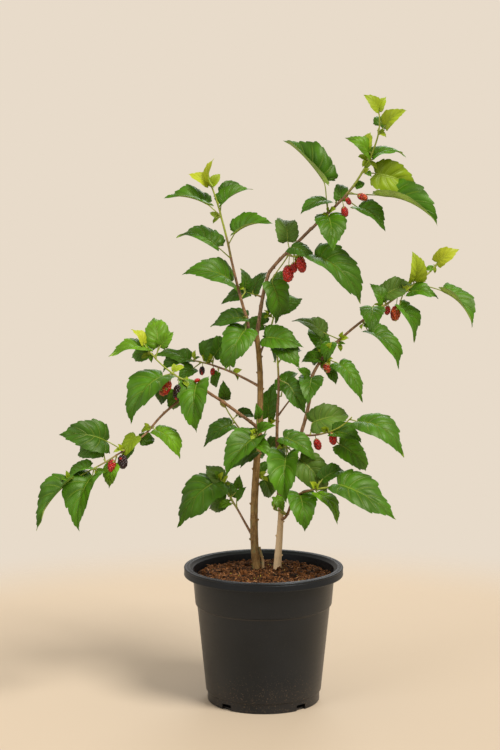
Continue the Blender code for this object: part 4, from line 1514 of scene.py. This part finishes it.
class MULBERRY_PG_leaves(bpy.types.PropertyGroup):
    """Sizes and colours of the leaves"""

    thickness: FloatProperty(name="Thickness", description="Of a blade", default=0.36 * MM, unit="LENGTH")
    tooth: FloatProperty(name="Teeth", description="Depth of the teeth as a share of the length", default=0.034)
    veins: IntProperty(name="Veins", description="Side veins on each half of a leaf", default=8, min=3)
    newest: colour("Newest", "The tip leaves", 182, 192, 42)
    lime: colour("Lime", "Leaves next to the tips", 162, 182, 36)
    warm: colour("Warm", "Yellowish full leaves", 130, 154, 16)
    bright: colour("Bright", "Fresh full leaves", 98, 144, 16)
    green: colour("Green", "Full leaves", 76, 124, 10)
    mature: colour("Mature", "Older leaves", 70, 115, 12)
    # The dark tone is partly painted shade: besides the oldest leaves it goes to leaves lying in shade inside the
    # plant.
    dark: colour("Dark", "The oldest leaves", 60, 101, 12)
    # The sheen tone is a painted grey reflection laid into the base colour of these leaves.
    sheen: colour("Sheen", "Leaves with a grey sheen", 84, 116, 34)
    rib: colour("Ribs", "Veins on the upper face", 158, 178, 62)
    rib_under: colour("Ribs below", "Veins on the lower face", 180, 212, 90)
    stalk: colour("Stalks", "Leaf stalks", 158, 168, 66)


class MULBERRY_PG_fruit(bpy.types.PropertyGroup):
    """Sizes and colours of the berries"""

    drupelets: IntProperty(name="Drupelets", description="On each berry", default=48, min=12)
    ripe: colour("Ripe", "Red berries", 180, 26, 12)
    dark: colour("Dark", "Berries that are nearly black", 40, 8, 12)
    turning: colour("Turning", "Orange berries", 190, 74, 24)
    unripe: colour("Unripe", "Green berries", 150, 146, 56)


class MULBERRY_PG_stage(bpy.types.PropertyGroup):
    """The camera, the lights and the floor"""

    lens: FloatProperty(name="Lens", description="Focal length", default=88.8, unit="CAMERA")
    tilt: FloatProperty(name="Tilt", description="Downward", default=math.radians(6.9), subtype="ANGLE")
    sun: FloatProperty(name="Sun", description="Strength of the soft key light", default=2.65)
    ambient: FloatProperty(name="Ambient", description="Strength of the light all round", default=0.45)
    floor: colour("Floor", "Colour of the floor", 208, 190, 166)
    wall: colour("Wall", "Plain colour behind the plant", 232, 219, 202)
    sky: colour("Sky", "Colour of the soft light all round", 255, 244, 230)


GROUPS = {
    "mulberry_pot": MULBERRY_PG_pot,
    "mulberry_soil": MULBERRY_PG_soil,
    "mulberry_bark": MULBERRY_PG_bark,
    "mulberry_leaves": MULBERRY_PG_leaves,
    "mulberry_fruit": MULBERRY_PG_fruit,
    "mulberry_stage": MULBERRY_PG_stage,
}


# Pot and soil


def corner(centre_radius, centre_height, size, first, last, steps=6):
    """A round corner of a profile, from one angle to another in degrees."""
    points = []
    for step in range(steps + 1):
        angle = math.radians(first + (last - first) * step / steps)
        points.append((centre_radius + size * math.cos(angle), centre_height + size * math.sin(angle)))
    return points


def soft_step(near, far, steps=5):
    """Points that ease from one height of the profile to another."""
    points = []
    for step in range(steps + 1):
        share = step / steps
        eased = share * share * (3 - 2 * share)
        points.append((near[0] + (far[0] - near[0]) * eased, near[1] + (far[1] - near[1]) * share))
    return points


def pot_profile():
    rim_inner = RIM_RADIUS - RIM_WIDTH
    rim_foot = POT_HEIGHT - RIM_DROP
    edge = RIM_SKIN / 2
    profile = [(0, FLOOR), (INNER_FLOOR_RADIUS, FLOOR), (INNER_TOP_RADIUS + 1.1 * MM, INNER_TOP_HEIGHT + 0.6 * MM)]
    profile += corner(rim_inner + RIM_ROUND, POT_HEIGHT - RIM_ROUND, RIM_ROUND, 165, 60)
    middle = RIM_RADIUS - RIM_WIDTH / 2
    profile += corner(middle, POT_HEIGHT, RIM_GROOVE, 200, 340)
    profile += corner(RIM_RADIUS - RIM_ROUND, POT_HEIGHT - RIM_ROUND, RIM_ROUND, 110, 0)
    groove = POT_HEIGHT - RIM_ROUND - 2 * RIM_GROOVE
    profile += corner(RIM_RADIUS, groove, RIM_GROOVE, 115, 245)
    profile += [(RIM_RADIUS - 0.3 * MM, groove - 1.5 * RIM_GROOVE), (RIM_RADIUS - 0.3 * MM, rim_foot + 2 * edge)]
    profile += corner(RIM_RADIUS - edge, rim_foot + edge, edge, 0, -180)
    profile += [
        (RIM_RADIUS - RIM_SKIN, POT_HEIGHT - RIM_SHELF),
        (COLLAR_TOP_RADIUS, POT_HEIGHT - RIM_SHELF),
    ]
    profile += soft_step((COLLAR_FOOT_RADIUS, STEP_HEIGHT + STEP_SLOPE), (BODY_TOP_RADIUS, STEP_HEIGHT - STEP_SLOPE))
    profile += soft_step((BODY_FOOT_RADIUS, BAND_HEIGHT + STEP_SLOPE), (BAND_RADIUS, BAND_HEIGHT - STEP_SLOPE))
    profile += corner(BAND_RADIUS - BASE_ROUND, BASE_ROUND, BASE_ROUND, 0, -90)
    return profile + [(0, 0)]


class MULBERRY_OT_pot(bpy.types.Operator):
    """Turns the pot and cuts its drain slots"""

    bl_idname = "mulberry.pot"
    bl_label = "Pot"

    def execute(self, context):
        sizes = context.scene.mulberry_pot
        profile = pot_profile()
        mesh = bpy.data.meshes.new("pot_shell")
        edges = [(index, index + 1) for index in range(len(profile) - 1)]
        mesh.from_pydata([(radius, 0, height) for radius, height in profile], edges, [])
        pot = add_object("pot_shell", mesh)
        turned = pot.modifiers.new("Turned", "SCREW")
        turned.angle = math.tau
        turned.steps = turned.render_steps = sizes.sides
        turned.use_merge_vertices = True
        turned.merge_threshold = 0.00001
        made_real(pot)
        shape = bmesh.new()
        shape.from_mesh(pot.data)
        bmesh.ops.recalc_face_normals(shape, faces=shape.faces)
        shape.to_mesh(pot.data)
        shape.free()
        cutters = bpy.data.collections.new("cutters")
        context.scene.collection.children.link(cutters)
        for number, angle in enumerate(DRAIN_ANGLES):
            block = bmesh.new()
            turn = Matrix.Rotation(math.radians(angle), 4, "Z")
            place = Matrix.Translation((0, -BAND_RADIUS, (DRAIN_HEIGHT - DRAIN_SPARE) / 2))
            size = Matrix.Diagonal((DRAIN_WIDTH, 9 * MM, DRAIN_HEIGHT + DRAIN_SPARE, 1))
            bmesh.ops.create_cube(block, size=1, matrix=place @ size)
            bmesh.ops.bevel(block, geom=block.edges, offset=0.5 * MM, segments=2, affect="EDGES")
            bmesh.ops.transform(block, matrix=turn, verts=block.verts)
            cutter = bpy.data.meshes.new(f"drain_{number}")
            block.to_mesh(cutter)
            block.free()
            cutters.objects.link(bpy.data.objects.new(f"drain_{number}", cutter))
        cut = pot.modifiers.new("Drains", "BOOLEAN")
        cut.operation = "DIFFERENCE"
        cut.operand_type = "COLLECTION"
        cut.collection = cutters
        made_real(pot)
        for cutter in list(cutters.objects):
            bpy.data.objects.remove(cutter)
        bpy.data.collections.remove(cutters)
        pot.data.materials.clear()
        pot.data.materials.append(pot_surface(sizes))
        pot.data.shade_smooth()
        pot.data.set_sharp_from_angle(angle=math.radians(32))
        dress(pot, "pot_plastic", ["pot"])
        return {"FINISHED"}


def soil_level(radius):
    """The soil's mean height at a distance from the pot's middle."""
    edge = inner_radius(SOIL_EDGE)
    marks = ((0, SOIL_TOP), (SOIL_LEVEL_RADIUS, SOIL_TOP), (SOIL_SHOULDER_RADIUS, SOIL_SHOULDER), (edge, SOIL_EDGE))
    return float(np.interp(radius, [mark[0] for mark in marks], [mark[1] for mark in marks]))


def inner_radius(height):
    share = (height - FLOOR) / (INNER_TOP_HEIGHT - FLOOR)
    return INNER_FLOOR_RADIUS + share * (INNER_TOP_RADIUS - INNER_FLOOR_RADIUS)


def soil_mesh(lump):
    """A lumpy round top with a wall down to the pot's floor."""
    rings, around = 56, 180
    edge = inner_radius(SOIL_EDGE) - 0.4 * MM
    places = [(0, 0, SOIL_TOP - 0.5 * MM)]
    for ring in range(1, rings + 1):
        radius = edge * ring / rings
        for step in range(around):
            angle = math.tau * step / around
            x, y = radius * math.cos(angle), radius * math.sin(angle)
            rough = noise.fractal(Vector((x, y, 0.3)) * 95, 0.7, 2.1, 5)
            fine = noise.noise(Vector((x, y, 1.7)) * 420)
            drop = 0.0 if ring < rings else 0.3 * lump
            places.append((x, y, soil_level(radius) + lump * (0.45 * rough + 0.16 * fine - 0.2) - drop))
    low = DRAIN_HEIGHT + 6 * MM
    foot = inner_radius(low) - 0.4 * MM
    for step in range(around):
        angle = math.tau * step / around
        places.append((foot * math.cos(angle), foot * math.sin(angle), low))
    places.append((0, 0, low))
    faces = []
    for step in range(around):
        after = (step + 1) % around
        faces.append((0, 1 + step, 1 + after))
        for ring in range(rings):
            near, far = 1 + ring * around, 1 + (ring + 1) * around
            faces.append((near + step, far + step, far + after, near + after))
        last = 1 + rings * around
        faces.append((last + step, len(places) - 1, last + after))
    mesh = bpy.data.meshes.new("soil_bed")
    mesh.from_pydata(places, [], faces)
    mesh.shade_smooth()
    return mesh


class MULBERRY_OT_soil(bpy.types.Operator):
    """Lays the soil, its crumbs, coir fibres and specks"""

    bl_idname = "mulberry.soil"
    bl_label = "Soil"

    def execute(self, context):
        sizes = context.scene.mulberry_soil
        bed = add_object("soil_bed", soil_mesh(sizes.lump))
        # The bed and the crumbs mix the dark tone, which is partly painted shade, with the brown by noise.
        bed.data.materials.append(soil_surface("damp soil", tuple(sizes.dark), tuple(sizes.brown)))
        dark = soil_surface("soil crumb", tuple(sizes.dark), tuple(sizes.brown))
        light = soil_surface("coir crumb", tuple(sizes.brown), tuple(sizes.fibre), 0.4 * MM)
        fibre = plain_surface("coir fibre", tuple(sizes.fibre), 0.8, 300, 0.35)
        moss = plain_surface("moss speck", tuple(sizes.moss), 0.7, 300, 0.3)
        kinds = (
            ("soil_clods", 8000, 5, (2.2, 1.8, 1.4), (6.4, 5.2, 3.4), 1.5, 2, dark),
            ("soil_crumbs", 18000, 3, (1.0, 0.9, 0.7), (3.2, 2.6, 1.9), 1.5, 1, dark),
            ("coir_crumbs", 13000, 7, (0.9, 0.6, 0.4), (3.6, 1.7, 1.2), 0.9, 1, light),
            ("coir_fibres", 5500, 11, (2.6, 0.25, 0.2), (11.0, 0.75, 0.55), 0.42, 2, fibre),
            ("bark_chips", 900, 23, (3.0, 0.6, 0.4), (8.0, 1.5, 0.8), 0.6, 2, fibre),
            ("moss_specks", 2600, 17, (0.6, 0.5, 0.4), (1.7, 1.2, 0.8), 0.8, 1, moss),
        )
        for name, density, seed, least, most, tilt, detail, surface in kinds:
            litter = shaped(
                name, bed.data.copy(), strewn(),
                Density=float(density), Seed=seed, Tilt=tilt, Detail=detail, Surface=surface,
                Reach=inner_radius(SOIL_EDGE) - 0.7 * most[0] * MM,
                Smallest=[part * MM for part in least], Largest=[part * MM for part in most],
            )
            dress(litter, "soil")
        dress(bed, "soil", ["soil"])
        return {"FINISHED"}


# Limbs, twigs and stalks


class MULBERRY_OT_limbs(bpy.types.Operator):
    """Grows the stems and the boughs with their bark"""

    bl_idname = "mulberry.limbs"
    bl_label = "Stems and boughs"

    def execute(self, context):
        bark = context.scene.mulberry_bark
        routes, limbs, _ = grow()
        stem = stem_surface(
            "old bark",
            [tuple(bark.old), tuple(bark.old_light), tuple(bark.pale), tuple(bark.moss), tuple(bark.pale)],
        )
        bough = bark_surface(
            "young bark", tuple(bark.young), tuple(bark.young_light), tuple(bark.pale), 0.62,
            (300, 300, 130), 0.35 * MM,
        )
        for name, stems, step, sides, surface, slot, cover, grain, relief in (
            ("stems", True, 1.2 * MM, 28, stem, "bark", bark.cover, (260, 260, 70), 0.6 * bark.relief),
            ("boughs", False, 1.5 * MM, 16, bough, "young_bark", bark.cover, (330, 330, 120), bark.relief),
        ):
            chosen = [limb for limb in LIMBS if is_stem(limb) == stems]
            strands, beads = [], []
            for limb in chosen:
                length = limb_length(routes[limb.name])
                knots = knots_of(limb.name, length, 19 * MM, 31 * MM)
                sway = 0 if stems else 0.5 * MM
                strands.append(limb_strand(limb, routes, step, knots, sway, (0, 0.3), cover))
                draw = random.Random(limb.name + " scars").uniform
                for number, knot in enumerate(knots):
                    share = knot / length
                    heading = heading_at(routes[limb.name], share)
                    aside = heading.cross(Vector((draw(-0.4, 0.4), 1, 0.1))).normalized()
                    aside = aside * (1 if number % 2 else -1)
                    radius = radius_at(limb, share)
                    place = bezier(routes[limb.name], share) + aside * (radius + cover + 0.2 * MM)
                    size = Vector((0.22, 0.22, 0.3)) * radius + Vector((0.4, 0.4, 0.8)) * MM
                    beads.append((place, (heading + aside * 0.8).normalized(), size))
            limbs_piece = shaped(
                name, strands_mesh(name, strands), swept(),
                Sides=sides, Relief=relief, Grain=grain, Old=surface, Middle=surface, Young=surface,
            )
            dress(limbs_piece, slot, [limb.name for limb in chosen])
            scars = shaped(
                f"{name}_bud_scars", beads_mesh(name, beads), beaded(), Segments=8, Rings=5, Surface=surface
            )
            dress(scars, slot)
        return {"FINISHED"}


class MULBERRY_OT_twigs(bpy.types.Operator):
    """Grows twigs, spurs, leaf stalks and buds"""

    bl_idname = "mulberry.twigs"
    bl_label = "Twigs and stalks"

    def execute(self, context):
        bark = context.scene.mulberry_bark
        leaves = context.scene.mulberry_leaves
        routes, limbs, growth = grow()
        old = bark_surface(
            "twig bark", tuple(bark.young), tuple(bark.young_light), tuple(bark.pale), 0.58,
            (300, 300, 130), 0.25 * MM,
        )
        olive = plain_surface("olive shoot", tuple(bark.olive), 0.52, 240, 0.22)
        green = plain_surface("green shoot", tuple(bark.green), 0.48, 240, 0.18)
        stalk = plain_surface("leaf stalk", tuple(leaves.stalk), 0.45, 200, 0.2)
        twigs, stalks, buds = [], [], []
        for mass in MASSES:
            name = mass.twig.name
            route = routes[name]
            length = limb_length(route)
            short = length < 45 * MM
            knots = sorted({round(leaf.at * length, 5) for leaf in mass.leaves if 0.03 < leaf.at < 0.97})
            youth = (0.45, 1.0) if short else (0, YOUNG / SHOOT_GREEN.get(name, 0.6))
            twigs.append(limb_strand(mass.twig, routes, 1.8 * MM, knots, 0.5 * MM, youth, bark.cover))
            for foot, tip in growth[name].spurs:
                points = [foot.lerp(tip, step / 6) for step in range(7)] + [tip + (tip - foot) * 0.06]
                radii = [(1.15 - 0.05 * step) * MM for step in range(7)] + [0.5 * MM]
                twigs.append(Strand(points, radii, [0.8] * 8))
            for leaf in growth[name].leaves:
                stalks.append(stalk_strand(leaf))
                draw = random.Random(leaf.seed + " bud").uniform
                aim = (leaf.way + Vector((draw(-0.4, 0.4), draw(-0.4, 0.4), 0.5))).normalized()
                size = Vector((0.75, 0.75, draw(1.5, 2.3))) * MM
                buds.append((leaf.foot + aim * 1.7 * MM, aim, size))
                for turn in (-1, 1):
                    lean = (leaf.way.cross(aim) * turn * draw(0.4, 0.9) + aim * 0.8).normalized()
                    size = Vector((0.55, 0.22, draw(2.0, 3.4))) * MM
                    buds.append((leaf.foot + lean * size.z * 0.9, lean, size))
        piece = shaped(
            "twigs", strands_mesh("twigs", twigs), swept(),
            Sides=12, Relief=0.2, Grain=(420, 420, 260), Old=old, Middle=olive, Young=green,
        )
        dress(piece, "young_bark")
        piece = shaped(
            "leaf_stalks", strands_mesh("leaf_stalks", stalks), swept(),
            Sides=8, Relief=0.1, Grain=(300, 300, 300), Old=stalk, Middle=stalk, Young=stalk,
        )
        dress(piece, "leaf")
        bud = plain_surface("bud scale", tuple(bark.green), 0.55, 400, 0.35)
        piece = shaped("buds", beads_mesh("buds", buds), beaded(), Segments=7, Rings=6, Surface=bud)
        dress(piece, "leaf")
        return {"FINISHED"}


class MULBERRY_OT_leaves(bpy.types.Operator):
    """Grows the leaves of each mass"""

    bl_idname = "mulberry.leaves"
    bl_label = "Leaves"

    def execute(self, context):
        sizes = context.scene.mulberry_leaves
        surfaces = {}
        for age, name, gloss, depth, spread in (
            ("y", "newest", 0.5, 0.2, 0.1), ("l", "lime", 0.48, 0.25, 0.12), ("w", "warm", 0.46, 0.5, 0.2),
            ("b", "bright", 0.44, 0.9, 0.26), ("g", "green", 0.43, 1.0, 0.3), ("m", "mature", 0.42, 1.0, 0.3),
            ("d", "dark", 0.43, 1.0, 0.3), ("s", "sheen", 0.5, 0.9, 0.26),
        ):
            upper = tuple(getattr(sizes, name))
            rib = tuple((3 * max(one, other) + 2 * other) / 5 for one, other in zip(sizes.rib, upper))
            paler = tuple((one + 3 * other) / 4 for one, other in zip(upper, sizes.rib_under))
            surfaces[age] = (
                leaf_surface(f"{name} leaf", upper, rib, gloss, depth * MM, spread),
                leaf_surface(f"{name} leaf below", paler, tuple(sizes.rib_under), 0.62, depth * MM / 2, spread, under=True),
            )
        patterns = (
            (40 * MM, BladePattern(13, COLUMNS)),
            (20 * MM, BladePattern(10, (0.0, 0.35, 0.72, 1.0))),
            (0, BladePattern(4, (0.0, 0.5, 1.0))),
        )
        _, _, growth = grow()
        for mass in MASSES:
            name = mass.twig.name
            leaves = growth[name].leaves
            blades = add_object(f"{name}_blades", leaves_mesh(f"{name}_blades", leaves, patterns, sizes, surfaces))
            dress(blades, "leaf", [name])
        return {"FINISHED"}


class MULBERRY_OT_fruit(bpy.types.Operator):
    """Grows the berries, each on its stalk"""

    bl_idname = "mulberry.fruit"
    bl_label = "Berries"

    def execute(self, context):
        sizes = context.scene.mulberry_fruit
        kinds = {
            "r": ("red_drupelets", berry_surface("red drupelet", tuple(sizes.ripe), 0.3)),
            "k": ("dark_drupelets", berry_surface("dark drupelet", tuple(sizes.dark), 0.25)),
            "o": ("turning_drupelets", berry_surface("turning drupelet", tuple(sizes.turning), 0.35)),
            "g": ("unripe_drupelets", berry_surface("unripe drupelet", tuple(sizes.unripe), 0.45)),
        }
        beads = {kind: [] for kind in kinds}
        stalks, calyx = [], []
        _, _, growth = grow()
        for berry in (berry for mass in growth.values() for berry in mass.berries):
            draw = random.Random(berry.seed)
            half = berry.length / 2
            turn = berry.along.to_track_quat("Z", "Y")
            round_half = half * draw.uniform(0.46, 0.56)
            count = sizes.drupelets
            for number in range(count):
                level = 1 - 2 * (number + 0.5) / count
                around = number * math.pi * (3 - math.sqrt(5))
                wide = math.sqrt(1 - level * level)
                out = Vector((wide * math.cos(around), wide * math.sin(around), level))
                place = Vector((out.x * round_half, out.y * round_half, out.z * half)) * 0.82
                aim = Vector((out.x, out.y, out.z * 0.6)).normalized()
                girth = half * draw.uniform(0.24, 0.29)
                kind = berry.ripeness
                if kind == "r" and level < -0.72 and draw.random() < 0.5:
                    kind = "g"
                if kind == "o" and draw.random() < (0.55 if level < 0 else 0.3):
                    kind = draw.choice("rrg")
                if kind == "k" and draw.random() < 0.12:
                    kind = "r"
                beads[kind].append((berry.centre + turn @ place, turn @ aim, Vector((1, 1, 1.15)) * girth))
            core = berry.ripeness
            beads[core].append((berry.centre, berry.along, Vector((round_half * 0.8, round_half * 0.8, half * 0.82))))
            top = berry.centre - berry.along * half
            path = [berry.foot, berry.foot.lerp(top, 0.45) + Vector((0, 0, 0.6 * MM)), top, berry.centre]
            stalks.append(Strand([bezier(path, step / 7) for step in range(8)], [0.62 * MM] * 8, [1.0] * 8))
            for step in range(6):
                angle = step * math.tau / 6
                lean = turn @ Vector((math.cos(angle), math.sin(angle), 0.15)).normalized()
                calyx.append((top + lean * 1.2 * MM + berry.along * 0.6 * MM, lean, Vector((0.8, 0.35, 1.5)) * MM))
        for kind, (name, surface) in kinds.items():
            piece = shaped(name, beads_mesh(name, beads[kind]), beaded(), Segments=10, Rings=6, Surface=surface)
            dress(piece)
        green = plain_surface("calyx", tuple(context.scene.mulberry_leaves.stalk), 0.5, 300, 0.25)
        piece = shaped(
            "berry_stalks", strands_mesh("berry_stalks", stalks), swept(),
            Sides=8, Relief=0.1, Grain=(300, 300, 300), Old=green, Middle=green, Young=green,
        )
        dress(piece, "leaf")
        piece = shaped("calyx_lobes", beads_mesh("calyx_lobes", calyx), beaded(), Segments=7, Rings=5, Surface=green)
        dress(piece, "leaf")
        return {"FINISHED"}


class MULBERRY_OT_stage(bpy.types.Operator):
    """Sets the floor, the lights and the camera"""

    bl_idname = "mulberry.stage"
    bl_label = "Stage"

    def execute(self, context):
        stage = context.scene.mulberry_stage
        turns = [math.radians(3 * step) for step in range(120)]
        mesh = bpy.data.meshes.new("stage_floor")
        rim = [(FLOOR_REACH * math.cos(turn), FLOOR_REACH * math.sin(turn), 0) for turn in turns]
        mesh.from_pydata(rim, [], [list(range(len(rim)))])
        floor = add_object("stage_floor", mesh)
        finish = Finish("stage floor", Base_Color=(*stage.floor, 1), Roughness=0.7)
        away = finish.node("ShaderNodeVectorMath", {0: finish.place}, "Value", operation="LENGTH")
        finish.set(Alpha=1 - away.rise(FLOOR_REACH * 0.6, FLOOR_REACH * 0.95))
        floor.data.materials.append(finish.material)
        floor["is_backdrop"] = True
        sun = bpy.data.lights.new("key", "SUN")
        sun.energy = stage.sun
        sun.angle = math.radians(24)
        sun.color = (1.0, 0.965, 0.91)
        lamp = bpy.data.objects.new("key", sun)
        lamp.rotation_euler = Vector((-0.95, 0.9, -1.7)).to_track_quat("-Z", "Y").to_euler()
        context.scene.collection.objects.link(lamp)
        for name, place, size, power in (
            ("window", (-1.7, -1.6, 1.5), 1.2, 16),
            ("back", (0.4, 2.2, 2.0), 1.4, 16),
        ):
            light = bpy.data.lights.new(name, "AREA")
            light.energy = power
            light.size = size
            light.color = (0.94, 0.97, 1.0)
            lamp = bpy.data.objects.new(name, light)
            lamp.location = place
            aim = Vector((0, 0, 0.45)) - Vector(place)
            lamp.rotation_euler = aim.to_track_quat("-Z", "Y").to_euler()
            context.scene.collection.objects.link(lamp)
        world = bpy.data.worlds.new("studio")
        world.use_nodes = True
        air = Graph(world.node_tree)
        seen = air.node("ShaderNodeLightPath", output="Is Camera Ray")
        soft = air.node("ShaderNodeBackground", {"Color": (*stage.sky, 1), "Strength": stage.ambient})
        wall = air.node("ShaderNodeBackground", {"Color": (*stage.wall, 1), "Strength": 1.0})
        both = air.node("ShaderNodeMixShader", {0: seen, 1: soft, 2: wall})
        air.feed(world.node_tree.nodes["World Output"].inputs["Surface"], both)
        context.scene.world = world
        context.scene.view_settings.view_transform = "Standard"
        view = bpy.data.cameras.new("camera")
        view.sensor_fit = "VERTICAL"
        view.sensor_height = 36
        view.lens = stage.lens
        camera = bpy.data.objects.new("camera", view)
        camera.location = (-0.0205, -2.7343, 0.8253)
        camera.rotation_euler = (math.radians(90) - stage.tilt, 0, 0)
        context.scene.collection.objects.link(camera)
        context.scene.camera = camera
        return {"FINISHED"}


class MULBERRY_PT_panel(bpy.types.Panel):
    """Lists what makes the plant"""

    bl_idname = "MULBERRY_PT_panel"
    bl_label = "Mulberry"
    bl_space_type = "VIEW_3D"
    bl_region_type = "UI"
    bl_category = "Mulberry"

    def draw(self, context):
        for operator in OPERATORS:
            self.layout.operator(operator.bl_idname)
        for name, group in GROUPS.items():
            box = self.layout.box()
            settings = getattr(context.scene, name)
            for key in group.__annotations__:
                box.prop(settings, key)


OPERATORS = (
    MULBERRY_OT_stage,
    MULBERRY_OT_pot,
    MULBERRY_OT_soil,
    MULBERRY_OT_limbs,
    MULBERRY_OT_twigs,
    MULBERRY_OT_leaves,
    MULBERRY_OT_fruit,
)
CLASSES = (*GROUPS.values(), *OPERATORS, MULBERRY_PT_panel)


def register():
    for item in CLASSES:
        bpy.utils.register_class(item)
    for name, group in GROUPS.items():
        setattr(bpy.types.Scene, name, PointerProperty(type=group))


def unregister():
    for name in GROUPS:
        delattr(bpy.types.Scene, name)
    for item in reversed(CLASSES):
        bpy.utils.unregister_class(item)


def main():
    register()
    bpy.ops.mulberry.stage()
    bpy.ops.mulberry.pot()
    bpy.ops.mulberry.soil()
    bpy.ops.mulberry.limbs()
    bpy.ops.mulberry.twigs()
    bpy.ops.mulberry.leaves()
    bpy.ops.mulberry.fruit()
    boxes = {"cad": CAD_BOX, "visual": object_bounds()}
    plain = {name: [list(map(float, corner)) for corner in box] for name, box in boxes.items()}


if __name__ == "__main__":
    main()
